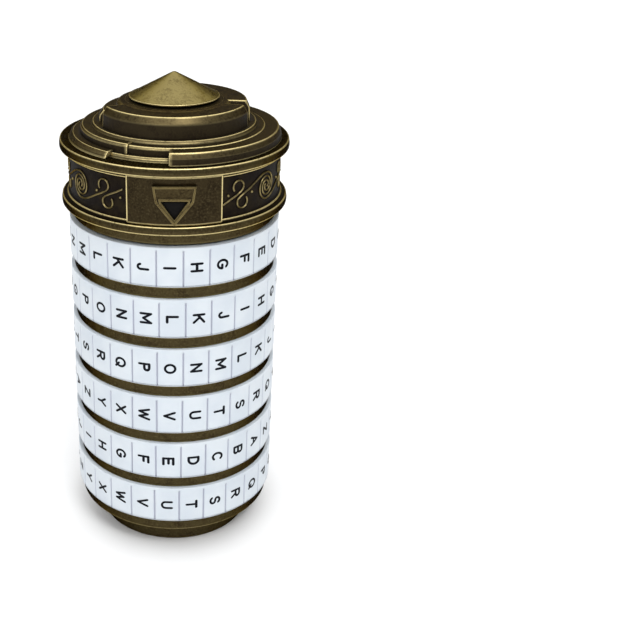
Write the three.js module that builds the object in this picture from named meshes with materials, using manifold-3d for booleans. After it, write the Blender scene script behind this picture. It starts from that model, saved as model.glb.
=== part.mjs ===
// A small desk cryptex: a slotted brass frame carries six lettered combination rings, and a
// capped container with one row of teeth slides up and out once every ring's notch is in line.
//
// Millimetres, +Z up, origin at the centre of the foot's underside. The row of teeth and the
// pointer face -Y. Angles around the axis are in degrees, counted from the front (-Y) towards +X.

import * as THREE from 'three';
import { mergeVertices } from 'three/addons/utils/BufferGeometryUtils.js';
import Module from 'manifold-3d';

const wasm = await Module();
wasm.setup();

// ---- Clearances -------------------------------------------------------------------------------

const JOIN = 0.2; // how far two shapes of one solid are let into each other before they are joined
const SEAT_GAP = 0.3; // between two pieces that sit against each other
const RUNNING_GAP = 0.3; // between pieces that turn or slide on each other, on the radius
const TOOTH_GAP = 0.4; // on each side of a tooth in its slot, notch and chamber

// ---- Container tube and teeth -----------------------------------------------------------------

const RING_COUNT = 6;
const LETTER_COUNT = 26;
const TUBE_RADIUS = 12.86;
const TUBE_WALL = 1.0;
const TOOTH_REACH = 3.25; // how far a tooth stands out of the container tube
const TOOTH_WIDTH = 4.0;
const TOOTH_HEIGHT = 3.8;
const TANG_SIZE = 2.0; // the square tang that rivets a tooth through the tube wall
const TANG_HEAD = 0.5; // how far the tang stands into the tube
const BASE_DISC_THICKNESS = 1.0;
const HEART_WIDTH = 25.0; // the large window, measured across its lobes along the tube
const SMALL_HEART_WIDTH = 6.4;
const HEART_DROP = 29.0; // from the cap's underside to the windows' centre

// ---- Frame ------------------------------------------------------------------------------------

const FRAME_WALL = 1.05;
const FOOT_WALL = 1.1; // round the frame tube's lower end
const FOOT_HEIGHT = 5.55;
const FOOT_FLOOR = 1.5;
const FOOT_BEVEL = 0.5;
const COLLAR_HEIGHT = 2.05;
const FLUTE_DEPTH = 0.25; // click flutes round the outside of the frame tube
const GRUB_RADIUS = 0.9;
const GRUB_SINK = 0.15; // the grub screw's end below the foot's surface

// ---- Combination rings ------------------------------------------------------------------------

const HUB_WALL = 1.1; // brass outside the tooth chamber
const LETTER_RING_WALL = 2.45;
const LETTER_RING_HEIGHT = 7.85;
const GROOVE_WIDTH = 0.42;
const GROOVE_DEPTH = 0.35;
const SPLINE_DEPTH = 0.55; // notches inside a letter ring that set the code
const RING_FLANGE = 2.05;
const BAND_STEP = 0.67; // the brass flanges and collar stand back from the letter rings by this
const TOOTH_DIP = 0.95; // how far a resting tooth reaches below the top of its ring's flange
const BALL_RADIUS = 1.0;
const BALL_HOLE_GAP = 0.3;
const LEAF_THICKNESS = 0.25;
const LEAF_HEIGHT = 1.8;
const LEAF_ARC = 34; // degrees
const LEAF_POCKET_ARC = 37; // degrees
const BALL_SLACK = 0.5; // between a ball that is pushed back and the leaf behind it

// ---- Cap, crown and finial --------------------------------------------------------------------

const LOW_RIM_STEP = 1.3; // the lower rim stands out past the letter rings by this
const LOW_RIM_HEIGHT = 1.65;
const TOP_RIM_STEP = 0.15; // and the top rim past the lower rim by this
const TOP_RIM_HEIGHT = 1.7;
const BAND_HEIGHT = 9.1; // between the two rims
const BAND_RECESS = 1.65; // the band stands back from the lower rim by this
const CAP_WALL = 1.6;
const MOULDING_STEP = 0.35; // the moulding under the top rim stands out of the band by this
const MOULDING_HEIGHT = 0.8;
const CROWN_SETBACK = 2.0; // from the top rim's edge to the crown's widest step
const CROWN_PLATE_SETBACK = 1.7; // from the crown's widest step to its base plate's edge
const CROWN_BASE_HEIGHT = 0.6;
const NECK_RADIUS = 7.0;
const NECK_HEIGHT = 6.85;
const CONE_RADIUS = 8.58;
const CONE_HEIGHT = 4.35;
const CONE_RIM = 0.25; // the upright edge of the cone
const TIP_RADIUS = 0.7; // where the cone's rounded tip begins
const TIP_DROP = 0.2; // and how far below the apex that is
const STUD_RADIUS = 1.9;
const STUD_DEPTH = 1.9; // into the cone
const NUT_RADIUS = 3.4;
const NUT_HEIGHT = 1.6;

// ---- Index plate and pointer ------------------------------------------------------------------

const PLATE_HALF_ARC = 24; // degrees
const PLATE_SETBACK = 0.6; // from the lower rim's edge to the plate's face
const POINTER_RELIEF = 0.4; // how far the pointer frame stands out of the plate
const POINTER_HALF_WIDTH = 3.87;
// Heights on the pointer, each measured down from the plate's top edge.
const POINTER_TOP = 1.15;
const POINTER_SHOULDER = 4.1;
const POINTER_HEIGHT = 8.45;
const INLAY_HALF_WIDTH = 2.25;
const INLAY_TOP = 3.9;
const INLAY_SHOULDER = 4.3;
const INLAY_TIP = 7.4;
const INLAY_SINK = 0.2; // the inlay's face below the pointer frame's face

// ---- Places worked out from the sizes above ---------------------------------------------------

const CELL = 360 / LETTER_COUNT;
const RING_PITCH = LETTER_RING_HEIGHT + RING_FLANGE + SEAT_GAP;
const RINGS_BOTTOM = FOOT_HEIGHT + SEAT_GAP;
const RINGS_TOP = RINGS_BOTTOM + RING_COUNT * RING_PITCH - SEAT_GAP;
const COLLAR_BOTTOM = RINGS_TOP + SEAT_GAP;
const COLLAR_TOP = COLLAR_BOTTOM + COLLAR_HEIGHT;
const CAP_BOTTOM = COLLAR_TOP + SEAT_GAP;
const CAP_TOP = CAP_BOTTOM + LOW_RIM_HEIGHT + BAND_HEIGHT + TOP_RIM_HEIGHT;
const CAP_CEILING = CAP_TOP - CAP_WALL;
const BAND_BOTTOM = CAP_BOTTOM + LOW_RIM_HEIGHT;
const BAND_TOP = BAND_BOTTOM + BAND_HEIGHT;
const CROWN_BOTTOM = CAP_TOP + SEAT_GAP;
const CONE_BOTTOM = CROWN_BOTTOM + NECK_HEIGHT + SEAT_GAP;
const TUBE_BOTTOM = FOOT_HEIGHT + 2 * SEAT_GAP;
const TUBE_TOP = CAP_CEILING - SEAT_GAP;
const FRAME_BORE = TUBE_RADIUS + RUNNING_GAP;
const FRAME_RADIUS = FRAME_BORE + FRAME_WALL;
const FRAME_BOTTOM = FOOT_FLOOR + SEAT_GAP;
const TOOTH_TIP = TUBE_RADIUS + TOOTH_REACH;
const CHAMBER_RADIUS = TOOTH_TIP + TOOTH_GAP;
const HUB_RADIUS = CHAMBER_RADIUS + HUB_WALL;
const LETTER_RING_BORE = HUB_RADIUS + SEAT_GAP;
const LETTER_RING_RADIUS = LETTER_RING_BORE + LETTER_RING_WALL;
const BAND_RADIUS = LETTER_RING_RADIUS - BAND_STEP;
const LOW_RIM_RADIUS = LETTER_RING_RADIUS + LOW_RIM_STEP;
const TOP_RIM_RADIUS = LOW_RIM_RADIUS + TOP_RIM_STEP;
const CAP_BAND_RADIUS = LOW_RIM_RADIUS - BAND_RECESS;
const MOULDING_RADIUS = CAP_BAND_RADIUS + MOULDING_STEP;
const PLATE_RADIUS = LOW_RIM_RADIUS - PLATE_SETBACK;
const CROWN_RADIUS = TOP_RIM_RADIUS - CROWN_SETBACK;
const FOOT_BORE = FRAME_RADIUS + SEAT_GAP;
const FOOT_RADIUS = FOOT_BORE + FOOT_WALL;
const LEDGE_BORE = FRAME_RADIUS + RUNNING_GAP;
const SLOT_WIDTH = TOOTH_WIDTH + 2 * TOOTH_GAP;
const TOOTH_RISE = RING_FLANGE + TOOTH_HEIGHT / 2 - TOOTH_DIP; // tooth centre above its ring's underside
const LEDGE_BOTTOM = TOOTH_RISE + TOOTH_HEIGHT / 2 + TOOTH_GAP; // above the ring's underside

// ---- Finishes ---------------------------------------------------------------------------------

const FINISHES = {
  antique_brass: { color: 0x7d6f45, roughness: 0.42, metalness: 1.0 },
  bright_brass: { color: 0xa39357, roughness: 0.34, metalness: 1.0 },
  dark_brass: { color: 0x4a4130, roughness: 0.5, metalness: 1.0 },
  white_plastic: { color: 0xe9eef2, roughness: 0.3, metalness: 0.0 },
  black_enamel: { color: 0x14130f, roughness: 0.35, metalness: 0.0 },
  spring_steel: { color: 0x8d9094, roughness: 0.3, metalness: 1.0 },
};

// ---- Geometry helpers -------------------------------------------------------------------------

const rad = THREE.MathUtils.degToRad;

/** A point at a radius and at an angle from the front (-Y) towards +X. */
function polar(radius, degrees) {
  return new THREE.Vector2(radius * Math.sin(rad(degrees)), -radius * Math.cos(rad(degrees)));
}

/** Points of an arc, both ends included, no step longer than half a letter cell. */
function arc(radius, from, to) {
  const steps = Math.max(1, Math.ceil(Math.abs(to - from) / (CELL / 2) - 1e-6));
  return Array.from({ length: steps + 1 }, (_, i) => polar(radius, from + ((to - from) * i) / steps));
}

/** Points of a whole circle, first point at the front, without the repeated end. */
function circle(radius) {
  return arc(radius, 0, 360).slice(0, -1);
}

/** A geometry as a manifold solid, facing outwards. */
function toSolid(geometry) {
  const bare = geometry.index ? geometry.toNonIndexed() : geometry.clone();
  bare.deleteAttribute('normal');
  bare.deleteAttribute('uv');
  const merged = mergeVertices(bare, 1e-4);
  const vertProperties = Float32Array.from(merged.attributes.position.array);
  const triVerts = dropFlatTriangles(merged.index.array);
  if (signedVolume(vertProperties, triVerts) < 0) {
    turnInsideOut(triVerts);
  }
  return new wasm.Manifold(new wasm.Mesh({ numProp: 3, vertProperties, triVerts }));
}

/** Triangle indices without those that lost a corner when vertices were merged. */
function dropFlatTriangles(index) {
  const kept = [];
  for (let i = 0; i < index.length; i += 3) {
    const [a, b, c] = [index[i], index[i + 1], index[i + 2]];
    if (a !== b && b !== c && c !== a) {
      kept.push(a, b, c);
    }
  }
  return Uint32Array.from(kept);
}

function signedVolume(positions, index) {
  const corner = (i) => new THREE.Vector3().fromArray(positions, index[i] * 3);
  let total = 0;
  for (let i = 0; i < index.length; i += 3) {
    total += corner(i).dot(corner(i + 1).cross(corner(i + 2)));
  }
  return total / 6;
}

function turnInsideOut(index) {
  for (let i = 0; i < index.length; i += 3) {
    [index[i + 1], index[i + 2]] = [index[i + 2], index[i + 1]];
  }
}

/** A manifold solid back as three.js geometry. */
function toGeometry(solid) {
  const { vertProperties, triVerts } = solid.getMesh();
  const geometry = new THREE.BufferGeometry();
  geometry.setAttribute('position', new THREE.BufferAttribute(vertProperties, 3));
  geometry.setIndex(new THREE.BufferAttribute(triVerts, 1));
  geometry.computeVertexNormals();
  return geometry;
}

/** A flat outline with holes, raised from one height to another. */
function prism(outline, holes, bottom, top) {
  const shape = new THREE.Shape(outline);
  shape.holes = holes.map((points) => new THREE.Path(points));
  const geometry = new THREE.ExtrudeGeometry(shape, { depth: top - bottom, bevelEnabled: false });
  return toSolid(geometry.translate(0, 0, bottom));
}

/** A round body from a profile of [radius, height] pairs that closes on itself or ends on the axis. */
function turned(profile, segments = 3 * (LETTER_COUNT / 2)) {
  const points = profile.map(([radius, height]) => new THREE.Vector2(radius, height));
  if (profile[0][0] > 0) {
    points.push(points[0].clone());
  }
  return toSolid(new THREE.LatheGeometry(points, segments).rotateX(Math.PI / 2));
}

/** A round plate with a round hole. */
function washer(outer, inner, bottom, top) {
  return prism(circle(outer), [circle(inner)], bottom, top);
}

/** A piece of a ring between two radii and two angles. */
function sector(inner, outer, from, to, bottom, top) {
  return prism([...arc(outer, from, to), ...arc(inner, to, from)], [], bottom, top);
}

/** A block centred on x, between two distances from the axis towards the front, and two heights. */
function frontBlock(width, near, far, bottom, top) {
  const geometry = new THREE.BoxGeometry(width, far - near, top - bottom);
  return toSolid(geometry.translate(0, -(near + far) / 2, (bottom + top) / 2));
}

/** A plain cylinder lying along the radius at an angle, between two distances from the axis. */
function radialRod(radius, near, far, degrees, height, sides = 12) {
  const geometry = new THREE.CylinderGeometry(radius, radius, far - near, sides);
  geometry.translate(0, -(near + far) / 2, height);
  geometry.rotateZ(rad(degrees));
  return toSolid(geometry);
}

// ---- Scene graph helpers ----------------------------------------------------------------------

/** A named mesh of one finish. */
function piece(name, solid, finish) {
  const mesh = new THREE.Mesh(toGeometry(solid), new THREE.MeshStandardMaterial(FINISHES[finish]));
  mesh.name = name;
  return mesh;
}

function groupOf(...children) {
  const group = new THREE.Group();
  group.add(...children);
  return group;
}

// ---- Frame: slotted tube, collar, foot --------------------------------------------------------

/** Outline of the frame tube with one click flute for each letter. */
function flutedOutline() {
  const points = [];
  for (let i = 0; i < LETTER_COUNT; i += 1) {
    const centre = 180 + i * CELL;
    points.push(polar(FRAME_RADIUS, centre - CELL / 5));
    points.push(polar(FRAME_RADIUS - FLUTE_DEPTH, centre));
    points.push(polar(FRAME_RADIUS, centre + CELL / 5));
  }
  return points;
}

function frameTube() {
  const tube = prism(flutedOutline(), [circle(FRAME_BORE)], FRAME_BOTTOM, COLLAR_TOP);
  const slotBottom = TUBE_BOTTOM;
  const slot = frontBlock(SLOT_WIDTH, 0, FRAME_RADIUS + RUNNING_GAP, slotBottom, COLLAR_TOP + 1);
  return tube.subtract(slot);
}

function topCollar() {
  const plate = washer(BAND_RADIUS, FRAME_RADIUS + SEAT_GAP, COLLAR_BOTTOM, COLLAR_TOP);
  const passage = frontBlock(SLOT_WIDTH, 0, CHAMBER_RADIUS, COLLAR_BOTTOM - 1, COLLAR_TOP + 1);
  return plate.subtract(passage);
}

function footCup() {
  const cup = turned([
    [0, 0],
    [FOOT_RADIUS - FOOT_BEVEL, 0],
    [FOOT_RADIUS, FOOT_BEVEL],
    [FOOT_RADIUS, FOOT_HEIGHT],
    [FOOT_BORE, FOOT_HEIGHT],
    [FOOT_BORE, FOOT_FLOOR],
    [0, FOOT_FLOOR],
  ]);
  const [near, far] = [FOOT_BORE - 1, FOOT_RADIUS + 1];
  const grubHole = radialRod(GRUB_RADIUS + SEAT_GAP, near, far, 180, footScrewHeight());
  return cup.subtract(grubHole);
}

function footScrewHeight() {
  return (FOOT_FLOOR + FOOT_HEIGHT) / 2;
}

function footScrew() {
  return radialRod(GRUB_RADIUS, FOOT_BORE, FOOT_RADIUS - GRUB_SINK, 180, footScrewHeight());
}

// ---- Combination rings: each is made with its underside at height zero ------------------------

/** The brass part: a ledge with one notch for a tooth, over a round chamber that a tooth can lie in. */
function tumblerRing() {
  const body = turned([
    [LEDGE_BORE, RING_FLANGE + LETTER_RING_HEIGHT],
    [HUB_RADIUS, RING_FLANGE + LETTER_RING_HEIGHT],
    [HUB_RADIUS, RING_FLANGE],
    [BAND_RADIUS, RING_FLANGE],
    [BAND_RADIUS, 0],
    [CHAMBER_RADIUS, 0],
    [CHAMBER_RADIUS, LEDGE_BOTTOM],
    [LEDGE_BORE, LEDGE_BOTTOM],
  ]);
  const top = RING_FLANGE + LETTER_RING_HEIGHT;
  const notch = frontBlock(SLOT_WIDTH, LEDGE_BORE - 1, CHAMBER_RADIUS, LEDGE_BOTTOM - 1, top + 1);
  const key = prism(splineKey(), [], RING_FLANGE - JOIN, top);
  const ballHole = radialRod(BALL_RADIUS + BALL_HOLE_GAP, LEDGE_BORE - 1, HUB_RADIUS, 180, detentHeight());
  const pocketHalf = LEAF_HEIGHT / 2 + SEAT_GAP;
  const pocket = sector(
    leafInner() - SEAT_GAP, HUB_RADIUS + 1,
    180 - LEAF_POCKET_ARC / 2, 180 + LEAF_POCKET_ARC / 2,
    detentHeight() - pocketHalf, detentHeight() + pocketHalf,
  );
  return body.subtract(notch).add(key).subtract(ballHole).subtract(pocket);
}

/** The one raised rib on the hub that engages a notch inside the letter ring. */
function splineKey() {
  const side = HUB_RADIUS - 0.5;
  const crest = HUB_RADIUS + SEAT_GAP + SPLINE_DEPTH / 2;
  return [polar(side, 90 - CELL / 4), polar(crest, 90), polar(side, 90 + CELL / 4)];
}

function detentHeight() {
  return (LEDGE_BOTTOM + RING_FLANGE + LETTER_RING_HEIGHT) / 2;
}

function leafInner() {
  return LEDGE_BORE + 2 * BALL_RADIUS + BALL_SLACK;
}

/** The white part: a V-groove between letters outside, and one code notch for each letter inside. */
function letterRing() {
  const outside = [];
  const inside = [];
  const grooveHalf = THREE.MathUtils.radToDeg(GROOVE_WIDTH / 2 / LETTER_RING_RADIUS);
  for (let i = 0; i < LETTER_COUNT; i += 1) {
    const edge = (i + 0.5) * CELL;
    outside.push(polar(LETTER_RING_RADIUS, edge - grooveHalf));
    outside.push(polar(LETTER_RING_RADIUS - GROOVE_DEPTH, edge));
    outside.push(polar(LETTER_RING_RADIUS, edge + grooveHalf));
    inside.push(polar(LETTER_RING_BORE, 90 + (i - 0.5) * CELL));
    inside.push(polar(LETTER_RING_BORE + SPLINE_DEPTH, 90 + i * CELL));
  }
  return prism(outside, [inside], RING_FLANGE + SEAT_GAP, RING_FLANGE + LETTER_RING_HEIGHT);
}

/** The click ball, drawn pushed back clear of the frame tube's lands. */
function detentBall() {
  const ball = new THREE.SphereGeometry(BALL_RADIUS, 10, 7);
  const reach = LEDGE_BORE + BALL_RADIUS;
  return toSolid(ball.translate(0, reach, detentHeight()));
}

/** The curved leaf spring behind the click ball. */
function detentLeaf() {
  const half = LEAF_HEIGHT / 2;
  const inner = leafInner();
  return sector(
    inner, inner + LEAF_THICKNESS,
    180 - LEAF_ARC / 2, 180 + LEAF_ARC / 2,
    detentHeight() - half, detentHeight() + half,
  );
}

/** One ring's pieces, lifted to its place in the stack; ring 1 is the top one. */
function combinationRing(number) {
  const ring = groupOf(
    piece(`tumbler_ring_${number}`, tumblerRing(), 'antique_brass'),
    piece(`letter_ring_${number}`, letterRing(), 'white_plastic'),
    piece(`detent_ball_${number}`, detentBall(), 'spring_steel'),
    piece(`detent_leaf_${number}`, detentLeaf(), 'spring_steel'),
  );
  ring.position.z = ringBottom(number);
  return ring;
}

function ringBottom(number) {
  return RINGS_BOTTOM + (RING_COUNT - number) * RING_PITCH;
}

// ---- Container: tube with windows, teeth, base disc -------------------------------------------

/** A heart whose two lobes lie side by side along +Y and whose tip points to -X, centred on its height. */
function heartOutline(width) {
  const unit = width / 32; // the curve below is 32 units wide
  const points = [];
  const steps = 36;
  for (let i = 0; i < steps; i += 1) {
    const t = (i / steps) * 2 * Math.PI;
    const across = 16 * Math.sin(t) ** 3;
    const along = 13 * Math.cos(t) - 5 * Math.cos(2 * t) - 2 * Math.cos(3 * t) - Math.cos(4 * t);
    points.push(new THREE.Vector2((along + 2.5) * unit, across * unit));
  }
  return points;
}

/** A cutter for a heart window: straight through one side of the tube, tip towards the front. */
function heartCutter(width, side) {
  const shape = new THREE.Shape(heartOutline(width));
  const depth = TUBE_RADIUS + 1;
  const geometry = new THREE.ExtrudeGeometry(shape, { depth, bevelEnabled: false });
  // The outline's +X becomes the object's +Y, its +Y becomes +Z, and its depth points to the side.
  const axes = new THREE.Matrix4().makeBasis(
    new THREE.Vector3(0, 1, 0),
    new THREE.Vector3(0, 0, 1),
    new THREE.Vector3(1, 0, 0),
  );
  geometry.applyMatrix4(axes);
  if (side < 0) {
    geometry.translate(-depth, 0, 0);
  }
  return toSolid(geometry.translate(0, 0, CAP_BOTTOM - HEART_DROP));
}

function containerTube() {
  let tube = washer(TUBE_RADIUS, TUBE_RADIUS - TUBE_WALL, TUBE_BOTTOM, TUBE_TOP);
  tube = tube.subtract(heartCutter(HEART_WIDTH, 1)).subtract(heartCutter(SMALL_HEART_WIDTH, -1));
  const holeSize = TANG_SIZE + 2 * SEAT_GAP;
  for (let number = 1; number <= RING_COUNT; number += 1) {
    const centre = toothHeight(number);
    const near = TUBE_RADIUS - TUBE_WALL - 1;
    tube = tube.subtract(
      frontBlock(holeSize, near, TUBE_RADIUS + 1, centre - holeSize / 2, centre + holeSize / 2),
    );
  }
  return tube;
}

function toothHeight(number) {
  return ringBottom(number) + TOOTH_RISE;
}

/** A lock tooth with its tang, made at height zero. */
function lockTooth() {
  const half = TOOTH_HEIGHT / 2;
  const block = frontBlock(TOOTH_WIDTH, TUBE_RADIUS - TUBE_WALL, TOOTH_TIP, -half, half);
  const seat = prism(circle(TUBE_RADIUS + SEAT_GAP), [], -half - 1, half + 1);
  const inner = TUBE_RADIUS - TUBE_WALL - TANG_HEAD;
  const tang = frontBlock(TANG_SIZE, inner, TOOTH_TIP - TOOTH_REACH / 2, -TANG_SIZE / 2, TANG_SIZE / 2);
  return block.subtract(seat).add(tang);
}

function toothPiece(number) {
  const tooth = piece(`lock_tooth_${number}`, lockTooth(), 'antique_brass');
  tooth.position.z = toothHeight(number);
  return tooth;
}

function containerBase() {
  const radius = TUBE_RADIUS - TUBE_WALL - SEAT_GAP;
  return prism(circle(radius), [], TUBE_BOTTOM, TUBE_BOTTOM + BASE_DISC_THICKNESS);
}

// ---- Cap: drum with two rims, index plate and pointer -----------------------------------------

function capDrum() {
  const bore = TUBE_RADIUS + SEAT_GAP;
  const inside = CAP_BAND_RADIUS - CAP_WALL;
  const studHole = STUD_RADIUS + SEAT_GAP;
  return turned([
    [bore, CAP_BOTTOM],
    [LOW_RIM_RADIUS, CAP_BOTTOM],
    [LOW_RIM_RADIUS, BAND_BOTTOM],
    [CAP_BAND_RADIUS, BAND_BOTTOM],
    [CAP_BAND_RADIUS, BAND_TOP - MOULDING_HEIGHT],
    [MOULDING_RADIUS, BAND_TOP - MOULDING_HEIGHT],
    [MOULDING_RADIUS, BAND_TOP],
    [TOP_RIM_RADIUS, BAND_TOP],
    [TOP_RIM_RADIUS, CAP_TOP],
    [studHole, CAP_TOP],
    [studHole, CAP_CEILING],
    [inside, CAP_CEILING],
    [inside, BAND_BOTTOM],
    [bore, BAND_BOTTOM],
  ], 2 * LETTER_COUNT);
}

/** Height range of the index plate between the two rims. */
function plateSpan() {
  return { bottom: BAND_BOTTOM + SEAT_GAP, top: BAND_TOP - SEAT_GAP };
}

/** The plate lies on the drum's band, and its upper edge laps over the moulding. */
function indexPlate() {
  const { bottom, top } = plateSpan();
  const lapBottom = BAND_TOP - MOULDING_HEIGHT - SEAT_GAP;
  const half = PLATE_HALF_ARC;
  const body = sector(CAP_BAND_RADIUS + SEAT_GAP, PLATE_RADIUS, -half, half, bottom, lapBottom);
  const lap = sector(MOULDING_RADIUS + SEAT_GAP, PLATE_RADIUS, -half, half, lapBottom - JOIN, top);
  return body.add(lap);
}

/** A flat outline in width and height, pushed forwards and cut to the round between two radii. */
function frontRelief(outline, holes, near, far) {
  const { bottom, top } = plateSpan();
  const shape = new THREE.Shape(outline);
  shape.holes = holes.map((points) => new THREE.Path(points));
  const geometry = new THREE.ExtrudeGeometry(shape, { depth: far + 1, bevelEnabled: false });
  return toSolid(geometry.rotateX(Math.PI / 2)).intersect(washer(far, near, bottom, top));
}

/** The pointer's outline: straight sides from its top to its shoulders, then a taper to the tip. */
function shield(halfWidth, top, shoulder, tip) {
  return [
    new THREE.Vector2(halfWidth, top),
    new THREE.Vector2(-halfWidth, top),
    new THREE.Vector2(-halfWidth, shoulder),
    new THREE.Vector2(0, tip),
    new THREE.Vector2(halfWidth, shoulder),
  ];
}

function pointerFrame() {
  const { top } = plateSpan();
  const outline = shield(
    POINTER_HALF_WIDTH, top - POINTER_TOP, top - POINTER_SHOULDER, top - POINTER_HEIGHT,
  );
  const window = shield(INLAY_HALF_WIDTH, top - INLAY_TOP, top - INLAY_SHOULDER, top - INLAY_TIP);
  const near = PLATE_RADIUS + SEAT_GAP;
  return frontRelief(outline, [window], near, near + POINTER_RELIEF);
}

function pointerInlay() {
  const { top } = plateSpan();
  const outline = shield(
    INLAY_HALF_WIDTH - SEAT_GAP,
    top - INLAY_TOP - SEAT_GAP,
    top - INLAY_SHOULDER - SEAT_GAP / 2,
    top - INLAY_TIP + 2 * SEAT_GAP,
  );
  const near = PLATE_RADIUS + SEAT_GAP;
  return frontRelief(outline, [], near, near + POINTER_RELIEF - INLAY_SINK);
}

// ---- Crown and finial -------------------------------------------------------------------------

/** The crown's steps: set back from its widest radius, angles from and to, height over its underside. */
const CROWN_STEPS = [
  { setback: 0, from: -3.5, to: 213, rise: 2.3 },
  { setback: 0.4, from: 227, to: 319, rise: 1.0 },
  { setback: 2.5, from: 227, to: 332, rise: 2.0 },
  { setback: 4.2, from: 0, to: 360, rise: 2.5 },
  { setback: 5.5, from: -66, to: 70, rise: 6.7 },
  { setback: 5.5, from: 82, to: 282, rise: 4.9 },
  { setback: 9.0, from: 0, to: 360, rise: 6.0 },
];

/** The stepped crown: whole rings and broken ones climbing round a neck, on one thin plate. */
function crown() {
  const bore = STUD_RADIUS + SEAT_GAP;
  const floor = CROWN_BOTTOM + CROWN_BASE_HEIGHT - JOIN;
  const plateRadius = CROWN_RADIUS - CROWN_PLATE_SETBACK;
  let body = washer(plateRadius, bore, CROWN_BOTTOM, CROWN_BOTTOM + CROWN_BASE_HEIGHT);
  for (const { setback, from, to, rise } of CROWN_STEPS) {
    const radius = CROWN_RADIUS - setback;
    const top = CROWN_BOTTOM + rise;
    const whole = to - from === 360;
    const bottom = radius > plateRadius ? CROWN_BOTTOM : floor;
    const step = whole
      ? washer(radius, bore, bottom, top)
      : sector(NECK_RADIUS - JOIN, radius, from, to, bottom, top);
    body = body.add(step);
  }
  return body.add(washer(NECK_RADIUS, bore, floor, CROWN_BOTTOM + NECK_HEIGHT));
}

function finialCone() {
  const bore = STUD_RADIUS + SEAT_GAP;
  const boreTop = CONE_BOTTOM + STUD_DEPTH;
  const apex = CONE_BOTTOM + CONE_RIM + CONE_HEIGHT;
  return turned([
    [0, apex],
    [TIP_RADIUS, apex - TIP_DROP],
    [CONE_RADIUS, CONE_BOTTOM + CONE_RIM],
    [CONE_RADIUS, CONE_BOTTOM],
    [bore, CONE_BOTTOM],
    [bore, boreTop],
    [0, boreTop],
  ]);
}

function finialStud() {
  const bottom = CAP_CEILING - SEAT_GAP - NUT_HEIGHT;
  const top = CONE_BOTTOM + STUD_DEPTH - SEAT_GAP;
  const geometry = new THREE.CylinderGeometry(STUD_RADIUS, STUD_RADIUS, top - bottom, 16);
  return toSolid(geometry.rotateX(Math.PI / 2).translate(0, 0, (bottom + top) / 2));
}

function finialNut() {
  const top = CAP_CEILING - SEAT_GAP;
  const hex = Array.from({ length: 6 }, (_, i) => polar(NUT_RADIUS, i * 60));
  return prism(hex, [circle(STUD_RADIUS + SEAT_GAP)], top - NUT_HEIGHT, top);
}

// ---- Assembly ---------------------------------------------------------------------------------

const numbers = Array.from({ length: RING_COUNT }, (_, i) => i + 1);

const frame = groupOf(
  piece('frame_tube', frameTube(), 'antique_brass'),
  piece('top_collar', topCollar(), 'antique_brass'),
  piece('foot_cup', footCup(), 'antique_brass'),
  piece('foot_screw', footScrew(), 'spring_steel'),
);

const rings = groupOf(...numbers.map(combinationRing));

const container = groupOf(
  piece('container_tube', containerTube(), 'antique_brass'),
  piece('container_base', containerBase(), 'antique_brass'),
  ...numbers.map(toothPiece),
  piece('cap_drum', capDrum(), 'antique_brass'),
  piece('index_plate', indexPlate(), 'antique_brass'),
  piece('pointer_frame', pointerFrame(), 'bright_brass'),
  piece('pointer_inlay', pointerInlay(), 'black_enamel'),
  piece('crown', crown(), 'dark_brass'),
  piece('finial_cone', finialCone(), 'bright_brass'),
  piece('finial_stud', finialStud(), 'spring_steel'),
  piece('finial_nut', finialNut(), 'antique_brass'),
);

const cryptex = groupOf(frame, rings, container);

export default cryptex;
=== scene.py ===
"""Finished look of a small desk cryptex: aged brass castings, white letter rings, and a studio round them.

Lengths in the classes are millimetres, heights are measured up from the table, and azimuths are
degrees round the upright axis, counted from the front (-Y) towards +X.
"""

import logging
import math
from collections.abc import Callable, Sequence
from dataclasses import dataclass
from enum import Enum

import bpy
from bpy.types import Material, NodeSocket, Object
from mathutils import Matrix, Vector


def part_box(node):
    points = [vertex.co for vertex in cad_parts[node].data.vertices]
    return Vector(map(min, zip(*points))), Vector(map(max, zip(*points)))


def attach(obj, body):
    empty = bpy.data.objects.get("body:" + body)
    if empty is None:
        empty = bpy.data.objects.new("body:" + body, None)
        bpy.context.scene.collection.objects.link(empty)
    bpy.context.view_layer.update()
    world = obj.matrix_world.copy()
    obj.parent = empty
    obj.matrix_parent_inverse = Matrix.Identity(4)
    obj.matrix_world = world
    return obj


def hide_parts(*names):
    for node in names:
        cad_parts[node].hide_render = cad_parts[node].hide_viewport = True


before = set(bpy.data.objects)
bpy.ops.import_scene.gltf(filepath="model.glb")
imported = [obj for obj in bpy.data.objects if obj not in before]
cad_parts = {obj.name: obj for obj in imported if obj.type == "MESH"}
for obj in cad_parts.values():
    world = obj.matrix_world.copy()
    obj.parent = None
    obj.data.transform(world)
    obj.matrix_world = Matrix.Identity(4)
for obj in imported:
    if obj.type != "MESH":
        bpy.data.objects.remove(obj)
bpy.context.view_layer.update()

log = logging.getLogger("cryptex")

MM = 0.001
RING_COUNT = 6
LETTER_COUNT = 26
CELL = 360 / LETTER_COUNT
ALPHABET = "ABCDEFGHIJKLMNOPQRSTUVWXYZ"
STUD_HOLE = 2.2
MERGE = 1e-7

Point = tuple[float, float]
Corner = tuple[float, float, float]


class Body(Enum):
    """The rigid bodies that do not repeat."""

    FRAME = "frame"
    CONTAINER = "container"


class Slot(Enum):
    """The record's material slots."""

    ANTIQUE_BRASS = "antique_brass"
    BRIGHT_BRASS = "bright_brass"
    DARK_BRASS = "dark_brass"
    WHITE_PLASTIC = "white_plastic"
    BLACK_ENAMEL = "black_enamel"
    SPRING_STEEL = "spring_steel"


# ---- Finishes ------------------------------------------------------------------------------

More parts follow.
